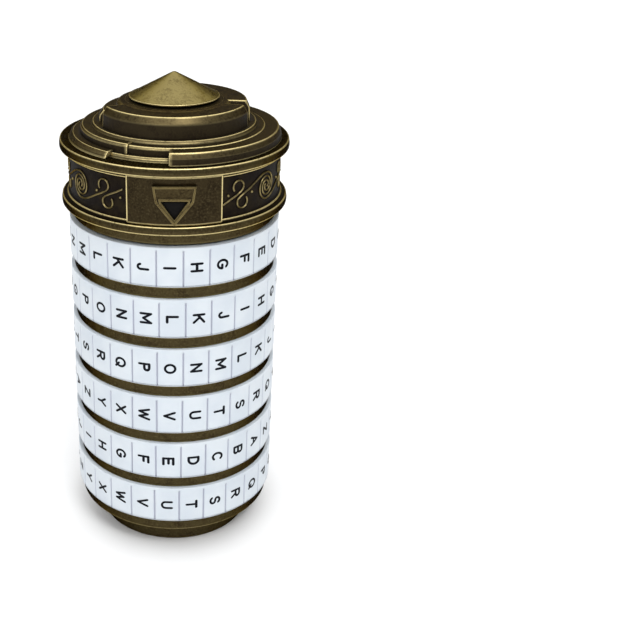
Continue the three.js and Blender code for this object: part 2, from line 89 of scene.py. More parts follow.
TIMES = {"operation": "MULTIPLY", "use_clamp": True}
PLUS = {"operation": "ADD", "use_clamp": True}
MINUS = {"operation": "SUBTRACT", "use_clamp": True}
LARGER = {"operation": "MAXIMUM", "use_clamp": True}
SMOOTH = {"interpolation_type": "SMOOTHSTEP"}
COLOURS = {"data_type": "RGBA"}
NEARBY = {"only_local": True, "samples": 8}


def linear(hex_code: str) -> tuple[float, float, float, float]:
    """Turns an sRGB hex value into linear colour.

    Args:
        hex_code: Six hex digits.

    Returns:
        Linear red, green, blue and an alpha of one.
    """
    channels = [int(hex_code[i : i + 2], 16) / 255 for i in (0, 2, 4)]
    red, green, blue = (
        c / 12.92 if c <= 0.04045 else ((c + 0.055) / 1.055) ** 2.4 for c in channels
    )
    return (red, green, blue, 1.0)


def grain(size_mm: float) -> float:
    """Texture scale for a pattern whose grain is that many millimetres, on Object coordinates."""
    return 1 / (size_mm * MM)


class Recipe:
    """A new node material, and the one function that adds to it."""

    def __init__(self, name: str) -> None:
        """Makes the empty material and its Object coordinates."""
        self.material = bpy.data.materials.new(name)
        self.material.use_nodes = True
        self.tree = self.material.node_tree
        self.tree.nodes.clear()
        self.place = self.add("TexCoord", output="Object")

    def add(
        self, kind: str, inputs: dict[str | int, object] | None = None,
        output: str | int = 0, **settings: object,
    ) -> NodeSocket | None:
        """Adds a node with its settings, values and links.

        Args:
            kind: The node's type name without its prefix.
            inputs: Input socket to its value, or to the output socket that feeds it.
            output: The output socket to hand back.
            **settings: Attributes of the node itself.

        Returns:
            That output socket, or None for a node without any.
        """
        node = self.tree.nodes.new(f"ShaderNode{kind}")
        for name, value in settings.items():
            setattr(node, name, value)
        for socket, value in (inputs or {}).items():
            if isinstance(value, NodeSocket):
                self.tree.links.new(value, node.inputs[socket])
            else:
                node.inputs[socket].default_value = value
        return node.outputs[output] if len(node.outputs) else None

    def finish(self, inputs: dict[str | int, object]) -> Material:
        """Adds the shader, with its values and links, and hands back the finished material."""
        self.add("OutputMaterial", {"Surface": self.add("BsdfPrincipled", inputs)})
        return self.material


@dataclass(frozen=True)
class AgedBrass:
    """Brass under antique plating: brown-black in recesses, olive on faces, rubbed gold on edges, and painted
    shade on its upright walls where a finish asks for it.
    """

    name: str
    plate: str = "483f28"
    plate_dark: str = "32291a"
    patina: str = "1a1512"
    rubbed: str = "e6d398"
    grazing: str = "5c5040"
    cover: float = 0.0
    recess: float = 0.95
    recess_mm: float = 2.0
    wear: float = 0.9
    mottle_mm: float = 2.4
    grit_mm: float = 0.35
    pits_mm: float = 0.6
    speck: float = 0.3
    glints: float = 0.05
    # how strongly painted shade darkens the faces that stand upright
    wall_shade: float = 0.0
    roughness: float = 0.33

    def material(self) -> Material:
        """Builds the node material.

        Returns:
            The material.
        """
        recipe = Recipe(self.name)
        add = recipe.add
        cloud, grit, pits = (
            add(
                "TexNoise",
                {"Vector": recipe.place, "Scale": grain(size), "Detail": detail, "Roughness": 0.6}, "Fac",
            )
            for size, detail in ((self.mottle_mm, 5.0), (self.grit_mm, 3.0), (self.pits_mm, 2.0))
        )
        rub = add("Attribute", None, "Fac", attribute_name="rub")
        openness = add("AmbientOcclusion", {"Distance": self.recess_mm * MM}, "AO", **NEARBY)
        rise = add("SeparateXYZ", {"Vector": add("NewGeometry", None, "Normal")}, "Z")
        uneven = add("Math", {0: add("Math", {0: cloud, 1: grit}, **PLUS), 1: 0.5}, **TIMES)
        # where each effect starts and ends on the value that it follows
        patch, reach, mottle, glint, speck, hollow, smear, side = (
            add("MapRange", {"Value": value, "From Min": low, "From Max": high}, **SMOOTH)
            for value, low, high in (
                (pits, 0.25, 0.6), (openness, 0.4, 0.8), (uneven, 0.34, 0.58), (grit, 0.5, 0.75),
                (pits, 0.42, 0.28), (openness, 0.95, 0.45), (cloud, 0.7, 0.35), (rise, 0.6, 0.15),
            )
        )
        # rubbing is patchy, and it doesn't reach into hollows
        wear = add("Math", {0: reach, 1: add("Math", {0: patch, 1: 0.45}, **PLUS)}, **TIMES)
        wear = add("Math", {0: add("Math", {0: rub, 1: wear}, **TIMES), 1: self.wear}, **TIMES)
        # side is painted shade: the less a face points up, the darker it is painted
        glint, speck, hollow, smear, side = (
            add("Math", {0: effect, 1: strength}, **TIMES)
            for effect, strength in (
                (glint, self.glints), (speck, self.speck), (hollow, self.recess),
                (smear, self.cover * 0.3), (side, self.wall_shade),
            )
        )
        # the patina layer: real film, patina in hollows and specks, joined with the painted shade on upright
        # walls
        dirt_and_wall_shade = add("Math", {0: smear, 1: self.cover * 0.8}, **PLUS)
        for darkening in (hollow, speck, side):
            dirt_and_wall_shade = add("Math", {0: dirt_and_wall_shade, 1: darkening}, **LARGER)
        dirt_and_wall_shade = add("Math", {0: dirt_and_wall_shade, 1: wear}, **MINUS)
        colour = linear(self.plate_dark)
        for amount, coat in (
            (mottle, self.plate), (glint, self.rubbed), (dirt_and_wall_shade, self.patina), (wear, self.rubbed)
        ):
            colour = add("Mix", {0: amount, 6: colour, 7: linear(coat)}, 2, **COLOURS)
        gloss = add("MapRange", {
            "Value": grit, "From Min": 0.3, "From Max": 0.7,
            "To Min": self.roughness - 0.06, "To Max": self.roughness + 0.12,
        })
        rough = add("Math", {0: gloss, 1: add("Math", {0: dirt_and_wall_shade, 1: 0.12}, **TIMES)}, **PLUS)
        metal = add("MapRange", {"Value": dirt_and_wall_shade, "To Min": 1.0, "To Max": 0.55})
        relief = add("Math", {0: grit, 1: pits}, **TIMES)
        bump = add("Bump", {"Height": relief, "Strength": 0.16, "Distance": 0.03 * MM})
        return recipe.finish({
            "Base Color": colour, "Roughness": rough, "Metallic": metal, "Normal": bump,
            "Specular Tint": linear(self.grazing),
        })


@dataclass(frozen=True)
class MouldedPlastic:
    """Injection-moulded ABS: an even satin white, faintly uneven, with painted shade in its grooves."""

    name: str
    colour: str = "d0d7dd"
    shade: str = "c8d0d8"
    # colour of the painted shade in the grooves
    groove: str = "b8bbc8"
    roughness: float = 0.34

    def material(self) -> Material:
        """Builds the node material.

        Returns:
            The material.
        """
        recipe = Recipe(self.name)
        add = recipe.add
        cloud, skin = (
            add("TexNoise", {"Vector": recipe.place, "Scale": grain(size), "Detail": detail}, "Fac")
            for size, detail in ((6.0, 3.0), (0.3, 2.0))
        )
        openness = add("AmbientOcclusion", {"Distance": 0.5 * MM}, "AO", **NEARBY)
        uneven = add("MapRange", {"Value": cloud, "From Min": 0.35, "From Max": 0.65}, **SMOOTH)
        # painted shade: darker where the ring's own surface closes in, as in the grooves
        groove_shade = add("MapRange", {"Value": openness, "From Min": 0.9, "From Max": 0.45}, **SMOOTH)
        body = add("Mix", {0: uneven, 6: linear(self.colour), 7: linear(self.shade)}, 2, **COLOURS)
        colour = add("Mix", {0: groove_shade, 6: body, 7: linear(self.groove)}, 2, **COLOURS)
        rough = add("MapRange", {
            "Value": cloud, "To Min": self.roughness - 0.05, "To Max": self.roughness + 0.08,
        })
        bump = add("Bump", {"Height": skin, "Strength": 0.15, "Distance": 0.02 * MM})
        return recipe.finish({"Base Color": colour, "Roughness": rough, "Normal": bump, "IOR": 1.53})


@dataclass(frozen=True)
class FilledPaint:
    """Paint or enamel run into a recess: near black, a little blue or brown, softly glossy."""

    name: str
    colour: str
    thin: str
    roughness: float
    grain_mm: float = 0.5

    def material(self) -> Material:
        """Builds the node material.

        Returns:
            The material.
        """
        recipe = Recipe(self.name)
        add = recipe.add
        cloud = add("TexNoise", {"Vector": recipe.place, "Scale": grain(self.grain_mm), "Detail": 3.0}, "Fac")
        worn = add("MapRange", {"Value": cloud, "From Min": 0.5, "From Max": 0.8}, **SMOOTH)
        colour = add("Mix", {0: worn, 6: linear(self.colour), 7: linear(self.thin)}, 2, **COLOURS)
        rough = add("MapRange", {
            "Value": cloud, "To Min": self.roughness - 0.08, "To Max": self.roughness + 0.12,
        })
        bump = add("Bump", {"Height": cloud, "Strength": 0.3, "Distance": 0.03 * MM})
        return recipe.finish({
            "Base Color": colour, "Roughness": rough, "Normal": bump,
            "IOR": 1.5, "Specular IOR Level": 0.12,
        })


@dataclass(frozen=True)
class PlainSteel:
    """Bright spring and screw steel with fine drawn scratches."""

    name: str
    colour: str = "9b9ea2"
    shade: str = "6f7276"

    def material(self) -> Material:
        """Builds the node material.

        Returns:
            The material.
        """
        recipe = Recipe(self.name)
        add = recipe.add
        drawn = add("Mapping", {"Vector": recipe.place, "Scale": (1.0, 1.0, 0.12)})
        lines = add("TexNoise", {"Vector": drawn, "Scale": grain(0.12), "Detail": 3.0}, "Fac")
        streak = add("MapRange", {"Value": lines, "From Min": 0.35, "From Max": 0.65}, **SMOOTH)
        colour = add("Mix", {0: streak, 6: linear(self.shade), 7: linear(self.colour)}, 2, **COLOURS)
        rough = add("MapRange", {"Value": lines, "To Min": 0.25, "To Max": 0.5})
        bump = add("Bump", {"Height": lines, "Strength": 0.3, "Distance": 0.01 * MM})
        return recipe.finish({
            "Base Color": colour, "Roughness": rough, "Normal": bump, "Metallic": 1.0,
        })


@dataclass(frozen=True)
class PaperFloor:
    """Smooth white table paper, with the faintest fibre."""

    name: str = "white_table_paper"

    def material(self) -> Material:
        """Builds the node material.

        Returns:
            The material.
        """
        recipe = Recipe(self.name)
        fibre = recipe.add("TexNoise", {"Vector": recipe.place, "Scale": grain(9.0), "Detail": 2.0}, "Fac")
        colour = recipe.add("Mix", {0: fibre, 6: linear("fbfbfb"), 7: linear("f6f6f6")}, 2, **COLOURS)
        return recipe.finish({"Base Color": colour, "Roughness": 0.9})


class Finishes:
    """One material for each finish on the object."""

    def __init__(self) -> None:
        """Builds every material once."""
        aged = {
            "rubbed_rim_brass": {},
            "antique_plated_brass": {"wear": 0.25},
            "index_plate_brass": {"plate": "3c3321", "plate_dark": "272014", "cover": 0.2},
            "pointer_dish_brass": {"plate": "463c26", "plate_dark": "2b2316", "cover": 0.1, "wear": 0.0},
            "antique_plated_tube": {
                "plate": "7d6f49", "plate_dark": "5d5034", "speck": 0.6, "mottle_mm": 3.2, "wear": 0.5,
            },
            "blackened_band_brass": {"cover": 0.95, "wear": 0.2, "recess": 1.0, "roughness": 0.42},
            # the crown's upright walls get painted shade
            "blackened_crown_brass": {
                "plate": "665a3c", "plate_dark": "463b28", "cover": 0.2, "wear": 1.0,
                "recess_mm": 3.0, "wall_shade": 0.8,
            },
            "rubbed_relief_brass": {"plate": "6f623f", "plate_dark": "4c402a", "wear": 0.2, "recess": 0.7},
            "rubbed_bright_brass": {"plate": "8f8255", "plate_dark": "6f6340", "speck": 0.25, "recess": 0.6},
        }
        (
            self.rim, self.plated, self.plate, self.dish, self.tube, self.band, self.crown, self.relief,
            self.bright,
        ) = (AgedBrass(name, **changes).material() for name, changes in aged.items())
        self.white = MouldedPlastic("white_moulded_abs").material()
        self.ink = FilledPaint("letter_ink", "05070f", "0f1424", 0.5).material()
        self.enamel = FilledPaint("black_enamel", "070605", "17130e", 0.55).material()
        self.steel = PlainSteel("spring_steel").material()


# ---- Modelling helpers -----------------------------------------------------------------------


def leave_edit_mode() -> None:
    """Goes back to object mode."""
    bpy.ops.object.mode_set(mode="OBJECT")


def edit_all() -> None:
    """Enters edit mode with everything on the active object selected."""
    bpy.ops.object.mode_set(mode="EDIT")
    bpy.ops.mesh.select_all(action="SELECT")


def deselect_all() -> None:
    """Leaves edit mode and deselects every object."""
    if bpy.context.object is not None and bpy.context.object.mode != "OBJECT":
        leave_edit_mode()
    bpy.ops.object.select_all(action="DESELECT")


def activate(*objects: Object) -> Object:
    """Selects these objects alone and makes the first one active.

    Args:
        *objects: The objects.

    Returns:
        The first object.
    """
    deselect_all()
    for obj in objects:
        obj.select_set(True)
    bpy.context.view_layer.objects.active = objects[0]
    return objects[0]


def start_piece(name: str) -> Object:
    """Names the primitive that was just added."""
    obj = bpy.context.object
    obj.name = name
    obj.data.name = name
    return obj


def settle() -> None:
    """Moves the active object's place, turn and size into its mesh."""
    bpy.ops.object.transform_apply(location=True, rotation=True, scale=True)


def pick(obj: Object, test: Callable[[Vector], bool]) -> None:
    """Enters edit mode with only the vertices selected that pass a test of their place in mm.

    Args:
        obj: The mesh object.
        test: Says whether a vertex is selected.
    """
    activate(obj)
    mesh = obj.data
    bpy.context.tool_settings.mesh_select_mode = (True, False, False)
    mesh.polygons.foreach_set("select", [False] * len(mesh.polygons))
    mesh.edges.foreach_set("select", [False] * len(mesh.edges))
    mesh.vertices.foreach_set("select", [test(v.co / MM) for v in mesh.vertices])
    bpy.ops.object.mode_set(mode="EDIT")


def clean(obj: Object, gap: float = MERGE) -> None:
    """Merges doubled vertices and turns every face outwards."""
    activate(obj)
    edit_all()
    bpy.ops.mesh.remove_doubles(threshold=gap)
    bpy.ops.mesh.normals_make_consistent(inside=False)
    leave_edit_mode()


def smooth(obj: Object, degrees: float = 32) -> Object:
    """Shades faces smooth across edges flatter than an angle.

    Args:
        obj: The mesh object.
        degrees: The angle.

    Returns:
        The same object.
    """
    activate(obj)
    bpy.ops.object.shade_smooth_by_angle(angle=math.radians(degrees))
    return obj


def apply_modifier(obj: Object, kind: str, **settings: object) -> None:
    """Adds a modifier, sets it and applies it.

    Args:
        obj: The mesh object.
        kind: The modifier's type.
        **settings: The modifier's settings.
    """
    activate(obj)
    modifier = obj.modifiers.new(kind.lower(), kind)
    for name, value in settings.items():
        setattr(modifier, name, value)
    bpy.ops.object.modifier_apply(modifier=modifier.name)


def round_edges(obj: Object, width: float, segments: int = 2, degrees: float = 50) -> None:
    """Rounds the edges sharper than an angle by a width in mm, with so many faces across."""
    apply_modifier(
        obj, "BEVEL", width=width * MM, segments=segments, limit_method="ANGLE",
        angle_limit=math.radians(degrees), use_clamp_overlap=False,
    )


def cut_away(obj: Object, *cutters: Object) -> None:
    """Subtracts the cutters from an object and removes them.

    Args:
        obj: The mesh object.
        *cutters: The solids to subtract.
    """
    for cutter in cutters:
        apply_modifier(obj, "BOOLEAN", operation="DIFFERENCE", solver="MANIFOLD", object=cutter)
        bpy.data.objects.remove(cutter)


def weld_on(obj: Object, *parts: Object) -> None:
    """Unites other solids with an object and removes them.

    Args:
        obj: The mesh object.
        *parts: The solids to unite with it.
    """
    for part in parts:
        apply_modifier(obj, "BOOLEAN", operation="UNION", solver="MANIFOLD", object=part)
        bpy.data.objects.remove(part)


def fillet(
    corners: Sequence[Corner], segments: int = 4, flat: float = 0.5, support: float = 0.2
) -> list[Point]:
    """Rounds the corners of a closed profile, and keeps its long flats flat with a point near each end.

    Args:
        corners: Radius, height and rounding of each corner, in mm.
        segments: Points along each rounding, less one.
        flat: The shortest flat that gets the extra points, in mm.
        support: How far they are from the flat's ends, in mm.

    Returns:
        The points of the rounded profile.
    """
    arcs: list[list[Vector]] = []
    for i, (x, y, radius) in enumerate(corners):
        corner = Vector((x, y))
        if radius <= 0:
            arcs.append([corner])
            continue
        before = Vector(corners[i - 1][:2]) - corner
        after = Vector(corners[(i + 1) % len(corners)][:2]) - corner
        half = before.angle(after) / 2
        reach = min(radius / math.tan(half), before.length * 0.48, after.length * 0.48)
        radius = reach * math.tan(half)
        centre = corner + (before.normalized() + after.normalized()).normalized() * (radius / math.sin(half))
        first = corner + before.normalized() * reach - centre
        last = corner + after.normalized() * reach - centre
        start = math.atan2(first.y, first.x)
        sweep = math.remainder(math.atan2(last.y, last.x) - start, math.tau)
        angles = [start + sweep * step / segments for step in range(segments + 1)]
        arcs.append([centre + radius * Vector((math.cos(t), math.sin(t))) for t in angles])
    points: list[Point] = []
    for arc, following in zip(arcs, arcs[1:] + arcs[:1]):
        points += [(p.x, p.y) for p in arc]
        run = following[0] - arc[-1]
        if run.length > flat:
            near, far = arc[-1] + run.normalized() * support, following[0] - run.normalized() * support
            points += [(near.x, near.y), (far.x, far.y)]
    return points


def at(radius: float, azimuth: float, height: float) -> Vector:
    """A place in metres, from its radius and height in mm and its degrees from the front towards +X."""
    turn = math.radians(azimuth)
    return Vector((radius * math.sin(turn), -radius * math.cos(turn), height)) * MM


def azimuth_of(place: Vector) -> float:
    """Degrees from the front towards +X, from -180 to 180."""
    return math.degrees(math.atan2(place.x, -place.y))


def lathe(
    name: str, profile: Sequence[Point], steps: int = 180, start: float = 0.0, sweep: float = 360.0
) -> Object:
    """Draws a closed profile point by point and spins it round the axis.

    Args:
        name: The object's name.
        profile: Radius and height of each point, in mm.
        steps: Steps in the spin.
        start: The azimuth where the spin starts.
        sweep: Degrees of the spin.

    Returns:
        The solid.
    """
    deselect_all()
    bpy.ops.mesh.primitive_plane_add(size=MM)
    obj = start_piece(name)
    bpy.context.tool_settings.mesh_select_mode = (True, False, False)
    edit_all()
    bpy.ops.mesh.merge(type="CENTER")
    places = [at(radius, start, height) for radius, height in profile]
    bpy.ops.transform.translate(value=places[0])
    for last, place in zip(places, places[1:] + places[:1]):
        bpy.ops.mesh.extrude_region_move(TRANSFORM_OT_translate={"value": place - last})
    bpy.ops.mesh.select_all(action="SELECT")
    bpy.ops.mesh.remove_doubles(threshold=MERGE)
    # with no window the spin runs from +X towards the front, so its axis points down
    bpy.ops.mesh.spin(steps=steps, angle=math.radians(sweep), center=(0, 0, 0), axis=(0, 0, -1))
    bpy.ops.mesh.select_all(action="SELECT")
    bpy.ops.mesh.remove_doubles(threshold=MERGE)
    leave_edit_mode()
    if sweep < 360:
        for end in (start, start + sweep):
            pick(obj, lambda p, end=end: abs(math.remainder(azimuth_of(p) - end, 360)) < 1e-3)
            bpy.ops.mesh.edge_face_add()
            leave_edit_mode()
    clean(obj)
    return obj


def block(name: str, low: Sequence[float], high: Sequence[float]) -> Object:
    """A box between two corners in mm.

    Args:
        name: The object's name.
        low: The lowest corner.
        high: The highest corner.

    Returns:
        The box.
    """
    deselect_all()
    size = [h - l for l, h in zip(low, high)]
    centre = [(h + l) / 2 * MM for l, h in zip(low, high)]
    bpy.ops.mesh.primitive_cube_add(size=MM, location=centre, scale=size)
    obj = start_piece(name)
    settle()
    return obj


def mark_rubbed(obj: Object, softest: float = 0.9, hardest: float = 2.4) -> Object:
    """Stores how tightly the surface bends outwards at each vertex, for the wear on a piece's edges.

    Args:
        obj: The mesh object.
        softest: The bend per mm, in radians, where wear begins.
        hardest: The bend per mm where it is complete.

    Returns:
        The same object.
    """
    mesh = obj.data
    bend = [0.0] * len(mesh.vertices)
    sides: dict[tuple[int, int], list[int]] = {}
    for face in mesh.polygons:
        for key in face.edge_keys:
            sides.setdefault(key, []).append(face.index)
    for (a, b), faces in sides.items():
        if len(faces) != 2:
            continue
        one, two = (mesh.polygons[i] for i in faces)
        across = two.center - one.center
        if across.dot(one.normal) < 0:
            tight = one.normal.angle(two.normal, 0.0) / max(across.length / MM, 0.02)
            bend[a] = max(bend[a], tight)
            bend[b] = max(bend[b], tight)
    rub = mesh.attributes.new("rub", "FLOAT", "POINT")
    spread = hardest - softest
    rub.data.foreach_set("value", [min(1.0, max(0.0, (x - softest) / spread)) for x in bend])
    return obj


def place_copy(source: Object, name: str, height: float = 0.0, turn: float = 0.0) -> Object:
    """Copies a piece with its own mesh, turned about the axis and lifted.

    Args:
        source: The piece to copy.
        name: The copy's name.
        height: How far it is lifted, in mm.
        turn: Degrees of turn towards +X at the front.

    Returns:
        The copy.
    """
    activate(source)
    bpy.ops.object.duplicate()
    copy = start_piece(name)
    copy.rotation_euler.z = math.radians(turn)
    copy.location.z = height * MM
    settle()
    return copy


def join(name: str, parts: Sequence[Object]) -> Object:
    """Joins parts into the first one.

    Args:
        name: The joined object's name.
        parts: The parts.

    Returns:
        The joined object.
    """
    activate(*parts)
    bpy.ops.object.join()
    return start_piece(name)


def dress(obj: Object, material: Material, slot: Slot, body: str, *nodes: str) -> Object:
    """Gives a finished piece its material, its body and the CAD nodes it stands for.

    Args:
        obj: The piece.
        material: Its material.
        slot: The record's slot for that finish.
        body: The body it rides on.
        *nodes: The CAD nodes it replaces.

    Returns:
        The piece.
    """
    if not any(obj.data.materials):
        obj.data.materials.clear()
        obj.data.materials.append(material)
    brass = slot in (Slot.ANTIQUE_BRASS, Slot.BRIGHT_BRASS, Slot.DARK_BRASS)
    if brass and "rub" not in obj.data.attributes:
        mark_rubbed(obj)
    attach(obj, body)
    if nodes:
        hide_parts(*nodes)
    log.info("%s rides on %s: %d faces", obj.name, body, len(obj.data.polygons))
    return obj


def paint_node(node: str, material: Material) -> None:
    """Gives a CAD node that stays in view a procedural material."""
    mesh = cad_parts[node].data
    mesh.materials.clear()
    mesh.materials.append(material)
    log.info("%s keeps its solid", node)


def heights(node: str) -> Point:
    """Lowest and highest height of a CAD node, in mm."""
    low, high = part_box(node)
    return low.z / MM, high.z / MM


def outer_radius(node: str) -> float:
    """How far a round CAD node reaches from the axis, in mm."""
    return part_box(node)[1].x / MM


def ribbon_object(name: str, half_width: float) -> Object:
    """An empty poly curve that turns every line on it into a round-sided bar.

    Args:
        name: The object's name.
        half_width: Half the bar's width in mm.

    Returns:
        The curve object.
    """
    deselect_all()
    bpy.ops.curve.primitive_nurbs_path_add()
    curve = start_piece(name)
    curve.data.splines.clear()
    curve.data.dimensions = "3D"
    curve.data.bevel_depth = half_width * MM
    curve.data.bevel_resolution = 1
    curve.data.use_fill_caps = True
    return curve


def add_round_stroke(curve: Object, points: Sequence[Point], half_width: float, step: float = 0.45) -> None:
    """Adds one line with round ends to a ribbon object, on the plane y = 0.

    Args:
        curve: The ribbon object.
        points: The line's points, sideways and up, in mm.
        half_width: Half the bar's width in mm.
        step: The longest distance between two points of the line, in mm.
    """
    line = [Vector(points[0])]
    for point in points[1:]:
        last, point = line[-1].copy(), Vector(point)
        pieces = max(1, math.ceil((point - last).length / step))
        line += [last.lerp(point, (i + 1) / pieces) for i in range(pieces)]
    head = (line[0] - line[1]).normalized() * half_width
    tail = (line[-1] - line[-2]).normalized() * half_width
    steps = [(math.sin(t), math.cos(t)) for t in (math.radians(a) for a in (85, 60, 32))]
    rounded = [(line[0] + head * out, size) for out, size in steps]
    rounded += [(point, 1.0) for point in line]
    rounded += [(line[-1] + tail * out, size) for out, size in reversed(steps)]
    spline = curve.data.splines.new("POLY")
    spline.points.add(len(rounded) - 1)
    for knot, (place, size) in zip(spline.points, rounded):
        knot.co = (place.x * MM, 0, place.y * MM, 1.0)
        knot.radius = size


def roll_up(obj: Object, radius: float) -> None:
    """Rolls a flat mesh round the axis: its plane y = 0 becomes the cylinder's surface.

    Args:
        obj: The mesh object.
        radius: The cylinder's radius in mm.
    """
    for vertex in obj.data.vertices:
        flat = vertex.co / MM
        vertex.co = at(radius - flat.y, math.degrees(flat.x / radius), flat.z)


def bow(x: float, y: float, wide: float, tall: float, start: float, end: float) -> list[Point]:
    """Part of an ellipse.

    Args:
        x: Its centre sideways.
        y: Its centre upwards.
        wide: Half its width.
        tall: Half its height.
        start: Degrees where it starts, counter-clockwise from the right.
        end: Degrees where it ends.

    Returns:
        The points of the bow.
    """
    count = max(3, round(abs(end - start) / 20))
    angles = [math.radians(start + (end - start) * i / count) for i in range(count + 1)]
    return [(x + wide * math.cos(t), y + tall * math.sin(t)) for t in angles]


STEM = [(0, 0), (0, 1)]
FAR_STEM = [(1, 0), (1, 1)]
TOP_BAR = [(0, 1), (1, 1)]
FOOT_BAR = [(0, 0), (1, 0)]
UPPER_BOWL = [(0, 1), (0.55, 1), *bow(0.6, 0.75, 0.4, 0.25, 80, -80), (0.55, 0.5), (0, 0.5)]
# Each letter's width, and its strokes in a square of its width by its height.
LETTER_STROKES: dict[str, tuple[float, list[list[Point]]]] = {
    "A": (0.87, [[(0, 0), (0.5, 1)], [(0.5, 1), (1, 0)], [(0.2, 0.36), (0.8, 0.36)]]),
    "B": (0.72, [STEM, UPPER_BOWL, [(0, 0.5), (0.6, 0.5), *bow(0.6, 0.25, 0.4, 0.25, 80, -80), (0, 0)]]),
    "C": (0.82, [bow(0.5, 0.5, 0.5, 0.5, 48, 312)]),
    "D": (0.75, [STEM, [(0, 1), (0.4, 1), *bow(0.4, 0.5, 0.6, 0.5, 80, -80), (0.4, 0), (0, 0)]]),
    "E": (0.70, [STEM, TOP_BAR, [(0, 0.52), (0.85, 0.52)], FOOT_BAR]),
    "F": (0.66, [STEM, TOP_BAR, [(0, 0.5), (0.85, 0.5)]]),
    "G": (0.85, [[*bow(0.5, 0.5, 0.5, 0.5, 48, 345), (0.98, 0.46)], [(0.98, 0.46), (0.58, 0.46)]]),
    "H": (0.72, [STEM, FAR_STEM, [(0, 0.5), (1, 0.5)]]),
    "I": (0.01, [[(0.5, 0), (0.5, 1)]]),
    "J": (0.50, [[(1, 1), (1, 0.28), *bow(0.5, 0.28, 0.5, 0.28, -15, -170)]]),
    "K": (0.78, [STEM, [(1, 1), (0, 0.36)], [(0.34, 0.58), (1, 0)]]),
    "L": (0.57, [STEM, FOOT_BAR]),
    "M": (0.95, [STEM, [(0, 1), (0.5, 0.25)], [(0.5, 0.25), (1, 1)], [(1, 1), (1, 0)]]),
    "N": (0.74, [STEM, [(0, 1), (1, 0)], FAR_STEM]),
    "O": (0.87, [bow(0.5, 0.5, 0.5, 0.5, 0, 360)]),
    "P": (0.67, [STEM, UPPER_BOWL]),
    "Q": (0.90, [bow(0.5, 0.5, 0.5, 0.5, 0, 360), [(0.62, 0.3), (1, -0.02)]]),
    "R": (0.75, [STEM, UPPER_BOWL, [(0.5, 0.5), (1, 0)]]),
    "S": (0.67, [[*bow(0.5, 0.76, 0.46, 0.24, 25, 260), *bow(0.5, 0.25, 0.5, 0.27, 75, -155)]]),
    "T": (0.74, [TOP_BAR, [(0.5, 1), (0.5, 0)]]),
    "U": (0.72, [[(0, 1), (0, 0.36), *bow(0.5, 0.36, 0.5, 0.36, 190, 350), (1, 0.36), (1, 1)]]),
    "V": (0.74, [[(0, 1), (0.5, 0)], [(0.5, 0), (1, 1)]]),
    "W": (1.12, [
        [(0, 1), (0.25, 0)], [(0.25, 0), (0.5, 0.85)], [(0.5, 0.85), (0.75, 0)], [(0.75, 0), (1, 1)],
    ]),
    "X": (0.74, [[(0, 0), (1, 1)], [(0, 1), (1, 0)]]),
    "Y": (0.74, [[(0, 1), (0.5, 0.45)], [(1, 1), (0.5, 0.45)], [(0.5, 0.45), (0.5, 0)]]),
    "Z": (0.70, [TOP_BAR, [(1, 1), (0, 0)], FOOT_BAR]),
}


# ---- Frame: collar, slotted tube, foot ---------------------------------------------------------


@dataclass
class FrameWork:
    """The still part: foot cup, slotted tube and the collar over the top ring."""

    finishes: Finishes
    tube_radius: float = 14.21
    bore: float = 13.16
    slot_width: float = 4.8
    chamber: float = 16.51
    edge: float = 0.3

    def build(self) -> None:
        """Builds and dresses the three pieces."""
        self._collar()
        self._tube()
        self._foot()
        paint_node("foot_screw", self.finishes.steel)

    def _collar(self) -> None:
        """A plain turned ring with a passage for the teeth."""
        bottom, top = heights("top_collar")
        radius = outer_radius("top_collar")
        inner = self.tube_radius + 0.05
        ring = lathe("collar_turned", fillet([
            (inner, bottom, 0.1), (radius, bottom, self.edge), (radius, top, self.edge), (inner, top, 0.2),
        ]))
        half = self.slot_width / 2
        passage = block("passage", (-half, -self.chamber, bottom - 1), (half, 0, top + 1))
        cut_away(ring, passage)
        smooth(ring)
        dress(ring, self.finishes.plated, Slot.ANTIQUE_BRASS, Body.FRAME.value, "top_collar")

    def _tube(self) -> None:
        """The tube that the rings turn on, open at the front from its floor to its top."""
        bottom, top = heights("frame_tube")
        floor = heights("container_tube")[0]
        tube = lathe("frame_tube_slotted", fillet([
            (self.bore, bottom, 0), (self.tube_radius, bottom, 0),
            (self.tube_radius, top, 0.25), (self.bore, top, 0.25),
        ]), steps=208)
        half = self.slot_width / 2
        slot = block("slot", (-half, -self.tube_radius - 1, floor), (half, 0, top + 1))
        cut_away(tube, slot)
        smooth(tube)
        dress(tube, self.finishes.plated, Slot.ANTIQUE_BRASS, Body.FRAME.value, "frame_tube")

    def _foot(self) -> None:
        """The shallow cup that the object stands on."""
        bottom, top = heights("foot_cup")
        radius = outer_radius("foot_cup")
        inner = self.tube_radius + 0.3
        cup = lathe("foot_cup_turned", fillet([
            (0, bottom, 0), (radius, bottom, 0.6), (radius, top, 0.2),
            (inner, top, 0.2), (inner, bottom + 1.5, 0.2), (0, bottom + 1.5, 0),
        ]))
        smooth(cup)
        dress(cup, self.finishes.plated, Slot.ANTIQUE_BRASS, Body.FRAME.value, "foot_cup")


# ---- Combination rings ---------------------------------------------------------------------------


